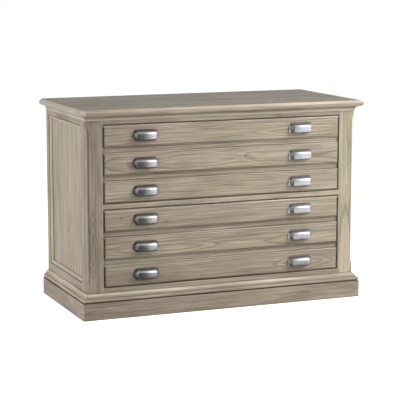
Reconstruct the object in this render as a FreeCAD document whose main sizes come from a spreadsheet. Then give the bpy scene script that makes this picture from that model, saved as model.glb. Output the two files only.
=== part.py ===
import FreeCAD, Part
import math
import os
import Sketcher

# Two-drawer filing credenza: a framed and panelled case on a moulded plinth, with two wide
# file drawers. Each drawer front looks like three small ones and carries six cup pulls.
# Millimetres. X runs to the right, Y to the back and Z up. The origin is the middle of the
# footprint, on the floor.

os.makedirs("parts", exist_ok=True)
doc = FreeCAD.newDocument("filing_credenza")


# Driving dimensions

DIMENSIONS = [
    # Overall size, over the nosing of the top
    ("overall_width", 1126.0),
    ("overall_depth", 523.0),
    ("overall_height", 762.0),
    # Top slab with a rounded nosing on three sides
    ("top_thickness", 24.0),
    ("top_overhang", 6.0),
    ("nosing_width", 17.0),
    ("nosing_drop", 12.0),
    ("nosing_nose_radius", 8.0),
    # Cove moulding under the top
    ("cove_height", 17.5),
    ("cove_projection", 10.0),
    ("cove_fillet", 2.0),
    # Plinth boards and the cap moulding on them
    ("plinth_height", 62.5),
    ("plinth_thickness", 22.0),
    ("plinth_arris", 1.2),
    ("cap_height", 31.0),
    ("cap_projection", 20.5),
    ("cap_top_flat", 1.6),
    ("cap_ogee_radius", 19.2),
    ("cap_nose_height", 11.0),
    ("cap_quirk_height", 2.5),
    ("cap_quirk_depth", 3.0),
    ("cap_step", 1.6),
    # Face frame
    ("frame_thickness", 20.0),
    ("stile_width", 61.5),
    ("top_rail_reveal", 14.5),
    ("middle_rail_height", 19.0),
    ("bottom_rail_reveal", 17.5),
    ("tenon_thickness", 8.0),
    ("tenon_length", 22.0),
    ("tenon_shoulder", 3.0),
    # Stopped chamfer on the two front corners
    ("corner_chamfer", 10.0),
    ("chamfer_top_stop", 20.0),
    ("chamfer_bottom_stop", 38.0),
    ("chamfer_runout", 16.0),
    # Side frames: stiles and rails with a moulded inner edge round a flat panel
    ("side_front_stile_width", 76.0),
    ("side_back_stile_width", 46.0),
    ("side_top_rail_reveal", 32.0),
    ("side_bottom_rail_reveal", 43.5),
    ("sticking_width", 13.0),
    ("sticking_quirk", 1.2),
    ("sticking_depth", 8.0),
    ("panel_recess", 10.0),
    ("panel_thickness", 6.0),
    ("panel_groove_depth", 9.0),
    ("panel_expansion_gap", 1.0),
    # Back panel, case bottom and the blocks that carry it
    ("back_panel_thickness", 5.0),
    ("back_rebate_width", 10.0),
    ("back_panel_lift", 18.0),
    ("case_bottom_thickness", 16.0),
    ("case_bottom_height", 70.0),
    ("corner_block_size", 60.0),
    ("foot_radius", 14.0),
    ("foot_disc_height", 5.0),
    ("foot_stem_radius", 4.0),
    ("foot_stem_length", 30.0),
    ("foot_bore_clearance", 0.2),
    # Drawer fronts: three raised bands with a stepped lip, and two sunk strips between them
    ("drawer_gap", 2.5),
    ("drawer_front_thickness", 20.0),
    ("strip_height", 21.0),
    ("strip_depth", 7.5),
    ("lip_width", 5.5),
    ("lip_step", 1.4),
    # Drawer boxes
    ("box_board", 15.0),
    ("box_height", 228.0),
    ("box_lift", 12.0),
    ("box_length", 440.0),
    ("box_housing_depth", 5.0),
    ("box_bottom_thickness", 6.0),
    ("box_bottom_lift", 12.0),
    ("box_groove_depth", 6.0),
    ("file_rail_thickness", 2.0),
    ("file_rail_height", 26.0),
    ("file_rail_stand", 10.0),
    # Full-extension ball-bearing slides: distances are counted inwards from the cleat
    ("slide_length", 450.0),
    ("slide_setback", 2.0),
    ("slide_width", 12.7),
    ("slide_height", 45.0),
    ("slide_gauge", 1.2),
    ("slide_lip", 1.4),
    ("slide_centre_lift", 114.0),
    ("outer_member_depth", 9.6),
    ("middle_member_start", 2.6),
    ("middle_member_end", 10.8),
    ("inner_member_start", 5.0),
    ("ball_radius", 1.5),
    ("ball_clearance", 0.1),
    ("cage_gauge", 0.6),
    ("cage_hole_clearance", 0.2),
    ("outer_cage_start", 1.6),
    ("outer_cage_end", 7.6),
    ("outer_ball_line", 5.2),
    ("inner_cage_start", 4.1),
    ("inner_cage_end", 9.0),
    ("inner_ball_line", 7.0),
    ("cage_length", 210.0),
    ("cage_setback", 118.0),
    ("ball_end_margin", 15.0),
    ("cleat_height", 60.0),
    # Cup pulls
    ("pull_width", 98.0),
    ("pull_height", 41.0),
    ("pull_flange_thickness", 1.6),
    ("pull_rim", 5.0),
    ("pull_end_rim", 7.5),
    ("pull_projection", 21.0),
    ("pull_corner_radius", 12.5),
    ("pull_brow_radius", 11.0),
    ("pull_edge_radius", 8.0),
    ("pull_lip_radius", 3.0),
    ("pull_wall", 1.6),
    ("pull_spacing", 620.0),
]

BALLS_IN_ROW = 3
BANDS_ON_A_FRONT = 3

# Half a right angle in degrees, and the distance in mm under which two places are the same
HALF_CORNER = 45.0
CLOSE = 0.001

sheet = doc.addObject("Spreadsheet::Sheet", "dims")
for row, (alias, number) in enumerate(DIMENSIONS, start=1):
    sheet.set(f"A{row}", alias)
    sheet.set(f"B{row}", str(number))
    sheet.setAlias(f"B{row}", alias)
doc.recompute()


# Places worked out from the driving dimensions

LAYOUT = [
    ("case_width", "dims.overall_width - 2 * (dims.top_overhang + dims.plinth_thickness)"),
    ("case_front", "-dims.overall_depth / 2 + dims.top_overhang + dims.plinth_thickness"),
    ("case_back", "dims.overall_depth / 2"),
    ("case_top", "dims.overall_height - dims.top_thickness"),
    ("frame_back", "layout.case_front + dims.frame_thickness"),
    ("inner_back", "layout.case_back - dims.back_panel_thickness"),
    ("side_inner_face", "layout.case_width / 2 - dims.frame_thickness"),
    ("opening_half", "layout.case_width / 2 - dims.stile_width"),
    ("cap_top", "dims.plinth_height + dims.cap_height"),
    ("cove_bottom", "layout.case_top - dims.cove_height"),
    ("rail_bottom", "dims.plinth_height / 2"),
    ("bottom_rail_top", "layout.cap_top + dims.bottom_rail_reveal"),
    ("top_rail_bottom", "layout.cove_bottom - dims.top_rail_reveal"),
    ("opening_height",
     "(layout.top_rail_bottom - layout.bottom_rail_top - dims.middle_rail_height) / 2"),
    ("middle_rail_bottom", "layout.bottom_rail_top + layout.opening_height"),
    ("upper_opening_floor", "layout.middle_rail_bottom + dims.middle_rail_height"),
    ("side_panel_floor", "layout.cap_top + dims.side_bottom_rail_reveal"),
    ("side_panel_ceiling", "layout.cove_bottom - dims.side_top_rail_reveal"),
    ("side_panel_front", "layout.case_front + dims.side_front_stile_width"),
    ("side_panel_back", "layout.case_back - dims.side_back_stile_width"),
    ("panel_tongue", "dims.panel_groove_depth - dims.panel_expansion_gap"),
    ("front_width", "2 * (layout.opening_half - dims.drawer_gap)"),
    ("front_height", "layout.opening_height - 2 * dims.drawer_gap"),
    ("band_height",
     f"(layout.front_height - {BANDS_ON_A_FRONT - 1} * dims.strip_height)"
     f" / {BANDS_ON_A_FRONT}"),
    ("band_pitch", "layout.band_height + dims.strip_height"),
    ("box_half", "layout.opening_half - dims.slide_width"),
    ("box_inner_half", "layout.box_half - dims.box_board"),
    ("box_front", "layout.case_front + dims.drawer_front_thickness"),
    ("slide_front", "layout.frame_back + dims.slide_setback"),
    ("outer_race", "dims.slide_height / 2 - dims.slide_gauge"),
    ("middle_face", "layout.outer_race - 2 * (dims.ball_radius + dims.ball_clearance)"),
    ("middle_race", "layout.middle_face - dims.slide_gauge"),
    ("inner_face", "layout.middle_race - 2 * (dims.ball_radius + dims.ball_clearance)"),
    ("outer_ball_height", "(layout.outer_race + layout.middle_face) / 2"),
    ("inner_ball_height", "(layout.middle_race + layout.inner_face) / 2"),
    ("cage_front", "layout.slide_front + dims.cage_setback"),
    ("ball_row_length", "dims.cage_length - 2 * dims.ball_end_margin"),
    ("nosing_sweep_radius",
     "(dims.nosing_width ^ 2 + dims.nosing_drop ^ 2"
     " - 2 * dims.nosing_width * dims.nosing_nose_radius)"
     " / (2 * (dims.nosing_drop - dims.nosing_nose_radius))"),
    ("nosing_turn",
     "atan((dims.nosing_width - dims.nosing_nose_radius)"
     " / (layout.nosing_sweep_radius - dims.nosing_drop)) / 1deg"),
    ("nosing_underside", "dims.top_thickness - dims.nosing_drop"),
    ("cap_nose_radius",
     "(dims.cap_step ^ 2 + (dims.cap_nose_height / 2) ^ 2) / (2 * dims.cap_step)"),
    ("sticking_drop", "dims.sticking_depth - dims.sticking_quirk"),
    ("sticking_radius",
     "(layout.sticking_drop ^ 2 + dims.sticking_width ^ 2) / (2 * layout.sticking_drop)"),
    ("chamfer_depth", "dims.corner_chamfer / sqrt(2)"),
    ("chamfer_curve",
     "(layout.chamfer_depth ^ 2 + dims.chamfer_runout ^ 2) / (2 * layout.chamfer_depth)"),
]

layout = doc.addObject("App::VarSet", "layout")
for name, formula in LAYOUT:
    layout.addProperty("App::PropertyFloat", name)
    layout.setExpression(name, formula)
doc.recompute()


def value(formula):
    """The number that a formula of the sheet and the layout gives now."""
    return float(layout.evalExpression(str(formula)))


def place(piece, x="0", y="0", z="0", turn=0.0):
    """Puts a piece at a place bound to the sheet, turned about the vertical."""
    piece.Placement = FreeCAD.Placement(
        FreeCAD.Vector(value(x), value(y), value(z)),
        FreeCAD.Rotation(FreeCAD.Vector(0, 0, 1), turn),
    )
    piece.setExpression("Placement.Base.x", str(x))
    piece.setExpression("Placement.Base.y", str(y))
    piece.setExpression("Placement.Base.z", str(z))
    return piece


PIECES = []


def keep(piece, name):
    """Names a finished piece and puts it on the list to be written."""
    piece.Label = name
    PIECES.append(piece)
    return piece


# Helpers for boards, profiles and mirrored pieces

def board(name, x, y, z, width, depth, height):
    """A plain rectangular board from its low corner and its three sizes."""
    box = doc.addObject("Part::Box", name)
    box.setExpression("Length", width)
    box.setExpression("Width", depth)
    box.setExpression("Height", height)
    return place(box, x, y, z)


def rod(name, x, y, z, radius, height):
    """An upright round bar from the middle of its lower end."""
    cylinder = doc.addObject("Part::Cylinder", name)
    cylinder.setExpression("Radius", radius)
    cylinder.setExpression("Height", height)
    return place(cylinder, x, y, z)


def cut(name, base, *tools):
    """The base with every tool taken away."""
    result = base
    for number, tool in enumerate(tools, start=1):
        step = doc.addObject("Part::Cut", f"{name}_cut_{number}")
        step.Base = result
        step.Tool = tool
        result = step
    return result


def fused(name, pieces):
    """Several forms joined into one solid."""
    whole = doc.addObject("Part::MultiFuse", name)
    whole.Shapes = pieces
    return whole


def mirrored(name, source):
    """The same piece for the right side."""
    twin = doc.addObject("Part::Mirroring", name)
    twin.Source = source
    twin.Normal = FreeCAD.Vector(1, 0, 0)
    return twin


def group(name, pieces):
    """Several like pieces held as one object of separate solids."""
    bundle = doc.addObject("Part::Compound", name)
    bundle.Links = pieces
    return bundle


def with_twins(name, pieces):
    """Pieces of the left side together with their twins on the right."""
    twins = [mirrored(f"{piece.Name}_twin", piece) for piece in pieces]
    return group(name, pieces + twins)


def arc_geometry(start, end, radius, turn):
    """A minor arc between two points: turn is 1 for anticlockwise and -1 for clockwise."""
    chord = end - start
    half = chord.Length / 2
    rise = math.sqrt(max(radius * radius - half * half, 0.0))
    normal = FreeCAD.Vector(-chord.y, chord.x, 0).normalize() * turn
    centre = (start + end) / 2 + normal * rise
    first, last = (start, end) if turn > 0 else (end, start)
    first_angle = math.atan2(first.y - centre.y, first.x - centre.x)
    last_angle = math.atan2(last.y - centre.y, last.x - centre.x)
    circle = Part.Circle(centre, FreeCAD.Vector(0, 0, 1), radius)
    return Part.ArcOfCircle(circle, first_angle, last_angle)


def attach(body, plane, name, offset=None):
    """A new sketch on one of the body's own planes."""
    sketch = body.newObject("Sketcher::SketchObject", name)
    origin_plane = [item for item in body.Origin.OriginFeatures if item.Role == plane][0]
    sketch.AttachmentSupport = [(origin_plane, "")]
    sketch.MapMode = "FlatFace"
    if offset is not None:
        sketch.AttachmentOffset = offset
    return sketch


def bind(sketch, kind, formula, *elements):
    """A constraint whose size follows the sheet."""
    index = sketch.addConstraint(Sketcher.Constraint(kind, *elements, value(formula)))
    name = f"size{index}"
    sketch.renameConstraint(index, name)
    sketch.setExpression(f"Constraints.{name}", str(formula))


def draw_loop(sketch, corners):
    """A closed loop whose corners are all bound to the sheet.

    A corner is (x, y), or (x, y, radius, turn) where an arc leads to the next corner.
    """
    points = [FreeCAD.Vector(value(corner[0]), value(corner[1]), 0) for corner in corners]
    entries = []
    for index, corner in enumerate(corners):
        start = points[index]
        end = points[(index + 1) % len(points)]
        if len(corner) == 4:
            turn = corner[3]
            edge = sketch.addGeometry(arc_geometry(start, end, value(corner[2]), turn))
            entries.append((edge, 1, 2) if turn > 0 else (edge, 2, 1))
        else:
            edge = sketch.addGeometry(Part.LineSegment(start, end))
            entries.append((edge, 1, 2))
    for index, entry in enumerate(entries):
        following = entries[(index + 1) % len(entries)]
        sketch.addConstraint(
            Sketcher.Constraint("Coincident", entry[0], entry[2], following[0], following[1])
        )
    for corner, (edge, start_point, _) in zip(corners, entries):
        bind(sketch, "DistanceX", corner[0], -1, 1, edge, start_point)
        bind(sketch, "DistanceY", corner[1], -1, 1, edge, start_point)
        if len(corner) == 4:
            bind(sketch, "Radius", corner[2], edge)


def rectangle(x_low, x_high, y_low, y_high):
    """The four corners of a rectangle."""
    return [(x_low, y_low), (x_high, y_low), (x_high, y_high), (x_low, y_high)]


def profile_body(name, plane, corners, length, reverse=False):
    """A body padded from one closed profile."""
    body = doc.addObject("PartDesign::Body", name)
    sketch = attach(body, plane, f"{name}_profile")
    draw_loop(sketch, corners)
    pad = body.newObject("PartDesign::Pad", f"{name}_pad")
    pad.Profile = sketch
    pad.Reversed = reverse
    pad.setExpression("Length", length)
    doc.recompute()
    return body


def pocket(body, plane, name, loops, depth=None, offset=None):
    """Cuts loops into a body to a depth, or right through it both ways from the plane."""
    before = body.Shape.Volume
    sketch = attach(body, plane, f"{name}_outline", offset)
    for corners in loops:
        draw_loop(sketch, corners)
    feature = body.newObject("PartDesign::Pocket", name)
    feature.Profile = sketch
    if depth is None:
        feature.Type = "ThroughAll"
        feature.Midplane = True
    else:
        feature.setExpression("Length", depth)
    doc.recompute()
    if body.Shape.Volume >= before:
        raise RuntimeError(f"{name} cuts nothing")
    return feature


def repeat(body, name, feature, axis, span, copies):
    """Repeats a feature in a row along one of the body's own axes."""
    pattern = body.newObject("PartDesign::LinearPattern", name)
    pattern.Originals = [feature]
    origin_axis = [item for item in body.Origin.OriginFeatures if item.Role == axis][0]
    pattern.Direction = (origin_axis, [""])
    pattern.setExpression("Length", span)
    pattern.Occurrences = copies
    body.Tip = pattern
    doc.recompute()
    return pattern


def other_side(corners):
    """The same run of corners on the other side of the middle, taken the other way round."""
    run = []
    for index in range(len(corners) - 1, -1, -1):
        arc = corners[index - 1][2:] if index > 0 else ()
        run.append((f"-({corners[index][0]})", corners[index][1]) + arc)
    return run


# Mouldings: a profile is given as (distance out from the wall, height). The strip runs along
# its own X axis with its outside towards its own -Y.

def strip(name, corners, length, reach, mitre_start):
    """A moulding strip, mitred at its end and mitred or square at its start."""
    section = []
    for corner in corners:
        arc = (corner[2], -corner[3]) if len(corner) == 4 else ()
        section.append((f"-({corner[0]})", corner[1]) + arc)
    end = f"({length} + 2 * {reach})"
    body = profile_body(name, "YZ_Plane", section, end)
    if mitre_start:
        start_waste = [("0", "0"), (reach, "0"), ("0", f"-{reach}")]
    else:
        start_waste = rectangle("0", reach, f"-{reach}", "0")
    pocket(body, "XY_Plane", f"{name}_start", [start_waste])
    end_waste = [(f"{end} - {reach}", "0"), (end, "0"), (end, f"-{reach}")]
    pocket(body, "XY_Plane", f"{name}_end", [end_waste])
    return body


def moulding_set(name, corners, height, reach):
    """Front, left and right strips of one moulding, mitred at the front corners."""
    front = strip(f"{name}_front", corners, "layout.case_width", reach, True)
    place(front, f"-layout.case_width / 2 - {reach}", "layout.case_front", height)
    keep(front, f"{name}_front")
    depth = "(layout.case_back - layout.case_front)"
    left = strip(f"{name}_left", corners, depth, reach, False)
    place(left, "-layout.case_width / 2", f"layout.case_back + {reach}", height, turn=-90)
    keep(left, f"{name}_left")
    keep(mirrored(f"{name}_right_twin", left), f"{name}_right")


moulding_set(
    "plinth",
    [
        ("0", "0"),
        ("dims.plinth_thickness", "0"),
        ("dims.plinth_thickness", "dims.plinth_height - dims.plinth_arris"),
        ("dims.plinth_thickness - dims.plinth_arris", "dims.plinth_height"),
        ("0", "dims.plinth_height"),
    ],
    "0",
    "dims.plinth_thickness",
)

# The cap on the plinth is an ogee: a round shoulder that falls into a hollow, then a small
# step, a round nose and a quirk where it meets the plinth board
CAP_FACE = "dims.cap_projection - dims.cap_step"
CAP_NOSE_TOP = "dims.cap_quirk_height + dims.cap_nose_height"
moulding_set(
    "base_cap",
    [
        ("0", "0"),
        ("dims.cap_projection - dims.cap_quirk_depth", "0"),
        ("dims.cap_projection - dims.cap_quirk_depth", "dims.cap_quirk_height"),
        (CAP_FACE, "dims.cap_quirk_height", "layout.cap_nose_radius", 1),
        (CAP_FACE, CAP_NOSE_TOP),
        (f"{CAP_FACE} - dims.cap_step", CAP_NOSE_TOP, "dims.cap_ogee_radius", -1),
        (f"(dims.cap_top_flat + {CAP_FACE} - dims.cap_step) / 2",
         f"(dims.cap_height + {CAP_NOSE_TOP}) / 2", "dims.cap_ogee_radius", 1),
        ("dims.cap_top_flat", "dims.cap_height"),
        ("0", "dims.cap_height"),
    ],
    "dims.plinth_height",
    "dims.cap_projection",
)

moulding_set(
    "cove_moulding",
    [
        ("0", "0"),
        ("dims.cove_fillet", "0"),
        ("dims.cove_fillet", "dims.cove_fillet", "dims.cove_height", -1),
        ("dims.cove_projection", "dims.cove_height - dims.cove_fillet / 2"),
        ("dims.cove_projection", "dims.cove_height"),
        ("0", "dims.cove_height"),
    ],
    "layout.cove_bottom",
    "dims.cove_projection",
)


# Top slab: the part common to a section that runs from side to side and one that runs from
# front to back, so that the nosing mitres itself at the two front corners

def nosing(half):
    """The nosing at the end of a half width, from the flat top round to the underside."""
    flat = f"({half} - dims.nosing_width)"
    join = f"({flat} + layout.nosing_sweep_radius * sin(layout.nosing_turn * 1deg))"
    join_height = ("dims.top_thickness - layout.nosing_sweep_radius"
                   " * (1 - cos(layout.nosing_turn * 1deg))")
    return [
        (flat, "dims.top_thickness", "layout.nosing_sweep_radius", -1),
        (join, join_height, "dims.nosing_nose_radius", -1),
        (half, "layout.nosing_underside", "layout.nosing_underside", -1),
        (f"{half} - layout.nosing_underside", "0"),
    ]


def top_panel():
    """The slab with its nosing on the front and both sides, square at the back."""
    half_width = "dims.overall_width / 2"
    half_depth = "dims.overall_depth / 2"
    side_run = nosing(half_width)
    across = profile_body("top_side_to_side", "XZ_Plane", other_side(side_run) + side_run,
                          "dims.overall_depth")
    place(across, "0", half_depth, "layout.case_top")
    square_back = [(half_depth, "dims.top_thickness"), (half_depth, "0")]
    along = profile_body("top_front_to_back", "YZ_Plane",
                         other_side(nosing(half_depth)) + square_back, "dims.overall_width")
    place(along, f"-{half_width}", "0", "layout.case_top")
    slab = doc.addObject("Part::Common", "top_slab")
    slab.Base = across
    slab.Tool = along
    return keep(slab, "top_panel")


top_panel()


# Face frame: two mitred stiles with a stopped chamfer, and three rails tenoned into them

RAILS = {
    "bottom_rail": ("layout.rail_bottom", "layout.bottom_rail_top"),
    "middle_rail": ("layout.middle_rail_bottom", "layout.upper_opening_floor"),
    "top_rail": ("layout.top_rail_bottom", "layout.case_top"),
}


def tenon(name, low, high):
    """The left tenon of a rail, which is also the form of its mortise."""
    return board(
        name,
        "-layout.opening_half - dims.tenon_length",
        "layout.case_front + (dims.frame_thickness - dims.tenon_thickness) / 2",
        f"{low} + dims.tenon_shoulder",
        "dims.tenon_length",
        "dims.tenon_thickness",
        f"{high} - {low} - 2 * dims.tenon_shoulder",
    )


def cut_chamfer(body, name):
    """A stopped chamfer on the outer corner, drawn in the plane that halves the corner."""
    low = "(layout.cap_top + dims.chamfer_bottom_stop)"
    high = "(layout.cove_bottom - dims.chamfer_top_stop)"
    clear = "-layout.chamfer_depth"
    waste = [
        (clear, low),
        ("0", low, "layout.chamfer_curve", 1),
        ("layout.chamfer_depth", f"{low} + dims.chamfer_runout"),
        ("layout.chamfer_depth", f"{high} - dims.chamfer_runout", "layout.chamfer_curve", 1),
        ("0", high),
        (clear, high),
    ]
    half_turn = FreeCAD.Placement(
        FreeCAD.Vector(0, 0, 0), FreeCAD.Rotation(FreeCAD.Vector(0, 1, 0), HALF_CORNER)
    )
    return pocket(body, "XZ_Plane", name, [waste], offset=half_turn)


def front_stile():
    """The left front stile: its outer edge is mitred to the side stile."""
    body = profile_body(
        "front_stile_blank",
        "XY_Plane",
        [
            ("0", "0"),
            ("dims.stile_width", "0"),
            ("dims.stile_width", "dims.frame_thickness"),
            ("dims.frame_thickness", "dims.frame_thickness"),
        ],
        "layout.case_top",
    )
    cut_chamfer(body, "front_stile_chamfer")
    place(body, "-layout.case_width / 2", "layout.case_front", "0")
    mortises = [tenon(f"{name}_mortise", low, high) for name, (low, high) in RAILS.items()]
    return keep(cut("front_stile", body, *mortises), "front_stile_left")


keep(mirrored("front_stile_twin", front_stile()), "front_stile_right")


def face_rail(name, low, high):
    """A rail of the face frame with a tenon at each end."""
    rail = board(f"{name}_board", "-layout.opening_half", "layout.case_front", low,
                 "2 * layout.opening_half", "dims.frame_thickness", f"{high} - {low}")
    left = tenon(f"{name}_tenon", low, high)
    return keep(fused(f"{name}_fused", [rail, left, mirrored(f"{name}_tenon_twin", left)]), name)


for rail_name, (rail_low, rail_high) in RAILS.items():
    face_rail(rail_name, rail_low, rail_high)


# Side frames. Their members share one moulded edge: a quirk, a rounded slope down to the
# panel and a groove that holds it. In each section X is the distance into the case and
# Y is the distance across the member, counted from its outer edge.

def moulded_edge(width):
    """The inner edge of a member, from its outside face round to its inside face."""
    start = f"{width} - dims.sticking_width"
    groove = f"{width} - dims.panel_groove_depth"
    behind = "dims.panel_recess + dims.panel_thickness"
    return [
        ("0", start),
        ("dims.sticking_quirk", start, "layout.sticking_radius", -1),
        ("dims.sticking_depth", width),
        ("dims.panel_recess", width),
        ("dims.panel_recess", groove),
        (behind, groove),
        (behind, width),
        ("dims.frame_thickness", width),
    ]


def counted_down(corners):
    """A section whose outer edge is at its upper or rear end."""
    turned = []
    for corner in corners:
        arc = (corner[2], -corner[3]) if len(corner) == 4 else ()
        turned.append((corner[0], f"-({corner[1]})") + arc)
    return turned


def side_stiles():
    """The mitred front stile and the rebated back stile of the left side."""
    front_section = [("0", "0")] + moulded_edge("dims.side_front_stile_width")
    front_section.append(("dims.frame_thickness", "dims.frame_thickness"))
    front = profile_body("side_front_stile", "XY_Plane", front_section, "layout.case_top")
    cut_chamfer(front, "side_front_stile_chamfer")
    place(front, "-layout.case_width / 2", "layout.case_front", "0")
    rebate = "dims.frame_thickness - dims.back_rebate_width"
    back_section = [("0", "0")] + moulded_edge("dims.side_back_stile_width")
    back_section += [
        ("dims.frame_thickness", "dims.back_panel_thickness"),
        (rebate, "dims.back_panel_thickness"),
        (rebate, "0"),
    ]
    back = profile_body("side_back_stile", "XY_Plane", counted_down(back_section),
                        "layout.case_top")
    place(back, "-layout.case_width / 2", "layout.case_back", "0")
    return front, back


def side_rail(name, width, height, from_above, stiles):
    """A rail of the left side, coped over the moulded edges of both stiles."""
    section = [("0", "0")] + moulded_edge(width) + [("dims.frame_thickness", "0")]
    if from_above:
        section = counted_down(section)
    length = "layout.side_panel_back - layout.side_panel_front + 2 * dims.sticking_width"
    rail = profile_body(f"{name}_blank", "XZ_Plane", section, length)
    place(rail, "-layout.case_width / 2", "layout.side_panel_back + dims.sticking_width", height)
    return cut(name, rail, *stiles)


def side_frame():
    """The left side frame with its panel, and the same for the right."""
    stiles = side_stiles()
    panel = board(
        "side_panel",
        "-layout.case_width / 2 + dims.panel_recess",
        "layout.side_panel_front - layout.panel_tongue",
        "layout.side_panel_floor - layout.panel_tongue",
        "dims.panel_thickness",
        "layout.side_panel_back - layout.side_panel_front + 2 * layout.panel_tongue",
        "layout.side_panel_ceiling - layout.side_panel_floor + 2 * layout.panel_tongue",
    )
    members = {
        "side_front_stile": stiles[0],
        "side_back_stile": stiles[1],
        "side_top_rail": side_rail(
            "side_top_rail", "(layout.case_top - layout.side_panel_ceiling)",
            "layout.case_top", True, stiles),
        "side_bottom_rail": side_rail(
            "side_bottom_rail", "(layout.side_panel_floor - layout.rail_bottom)",
            "layout.rail_bottom", False, stiles),
        "side_panel": panel,
    }
    for name, piece in members.items():
        keep(piece, f"left_{name}")
        keep(mirrored(f"{name}_twin", piece), f"right_{name}")


side_frame()


# Back panel, case bottom, corner blocks and levelling feet

keep(
    board(
        "back_board",
        "-layout.side_inner_face - dims.back_rebate_width",
        "layout.inner_back",
        "dims.back_panel_lift",
        "2 * (layout.side_inner_face + dims.back_rebate_width)",
        "dims.back_panel_thickness",
        "layout.case_top - dims.back_panel_lift",
    ),
    "back_panel",
)

keep(
    board(
        "bottom_board",
        "-layout.side_inner_face",
        "layout.frame_back",
        "dims.case_bottom_height",
        "2 * layout.side_inner_face",
        "layout.inner_back - layout.frame_back",
        "dims.case_bottom_thickness",
    ),
    "case_bottom",
)


def corner_supports():
    """A glued block in each lower corner of the case, with a screw-in foot under it."""
    blocks = []
    feet = []
    centre_x = "-layout.side_inner_face + dims.corner_block_size / 2"
    rows = {
        "front": "layout.frame_back",
        "back": "layout.inner_back - dims.corner_block_size",
    }
    for row_name, start in rows.items():
        centre_y = f"{start} + dims.corner_block_size / 2"
        height = "dims.case_bottom_height - dims.foot_disc_height"
        block = board(f"{row_name}_block", "-layout.side_inner_face", start,
                      "dims.foot_disc_height", "dims.corner_block_size",
                      "dims.corner_block_size", height)
        bore = rod(f"{row_name}_bore", centre_x, centre_y, "dims.foot_disc_height",
                   "dims.foot_stem_radius + dims.foot_bore_clearance", height)
        blocks.append(cut(f"{row_name}_block", block, bore))
        disc = rod(f"{row_name}_disc", centre_x, centre_y, "0",
                   "dims.foot_radius", "dims.foot_disc_height")
        stem = rod(f"{row_name}_stem", centre_x, centre_y, "0", "dims.foot_stem_radius",
                   "dims.foot_disc_height + dims.foot_stem_length")
        feet.append(fused(f"{row_name}_foot", [disc, stem]))
    keep(with_twins("corner_block_set", blocks), "corner_blocks")
    keep(with_twins("levelling_foot_set", feet), "levelling_feet")


corner_supports()


# The two levels of the case: where each opening's floor lies

LEVELS = {
    "upper": "layout.upper_opening_floor",
    "lower": "layout.bottom_rail_top",
}


def box_underside(level):
    return f"({LEVELS[level]} + dims.drawer_gap + dims.box_lift)"


def slide_centre(level):
    return f"({box_underside(level)} + dims.slide_centre_lift)"


def slide_cleats():
    """A cleat behind each stile brings the slide out to the edge of the opening."""
    cleats = []
    for level in LEVELS:
        cleats.append(board(
            f"{level}_cleat",
            "-layout.side_inner_face",
            "layout.frame_back",
            f"{slide_centre(level)} - dims.cleat_height / 2",
            "layout.side_inner_face - layout.opening_half",
            "layout.inner_back - layout.frame_back",
            "dims.cleat_height",
        ))
    keep(with_twins("slide_cleat_set", cleats), "slide_cleats")


slide_cleats()


# Drawer slides. Each side has an outer, a middle and an inner member of rolled steel with
# balls between them, and each pair of races has a cage that spaces its balls. The sections
# are drawn for the left side: X is the distance in from the cleat and Y the height from
# the middle of the slide.

def channel(web, tip, inwards, outside, gauge, lip=None):
    """A C-shaped section. The web's thickness lies inwards ("+") or outwards ("-")."""
    inside = f"({outside} - {gauge})"
    upper = [(f"{web} {inwards} {gauge}", inside)]
    if lip is None:
        upper.append((tip, inside))
    else:
        upper.append((f"{tip} - {gauge}", inside))
        upper.append((f"{tip} - {gauge}", f"{inside} - {lip}"))
        upper.append((tip, f"{inside} - {lip}"))
    upper.append((tip, outside))
    upper.append((web, outside))
    lower = [(corner[0], f"-({corner[1]})") for corner in reversed(upper)]
    return upper + lower


def rolled_member(name, level, section, front, length):
    """A length of rolled section on the left side of one level."""
    body = profile_body(name, "XZ_Plane", section, length)
    return place(body, "-layout.opening_half", f"{front} + {length}", slide_centre(level))


def slide_members(level):
    """The three members of a pair of slides."""
    sections = {
        "outer": channel("0", "dims.outer_member_depth", "+", "dims.slide_height / 2",
                         "dims.slide_gauge", "dims.slide_lip"),
        "middle": channel("dims.middle_member_start", "dims.middle_member_end", "+",
                          "layout.middle_face", "dims.slide_gauge", "dims.slide_lip"),
        "inner": channel("dims.slide_width", "dims.inner_member_start", "-",
                         "layout.inner_face", "dims.slide_gauge"),
    }
    for kind, section in sections.items():
        member = rolled_member(f"{level}_{kind}_member", level, section,
                               "layout.slide_front", "dims.slide_length")
        keep(with_twins(f"{level}_{kind}_pair", [member]), f"{level}_slide_{kind}_members")


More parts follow.
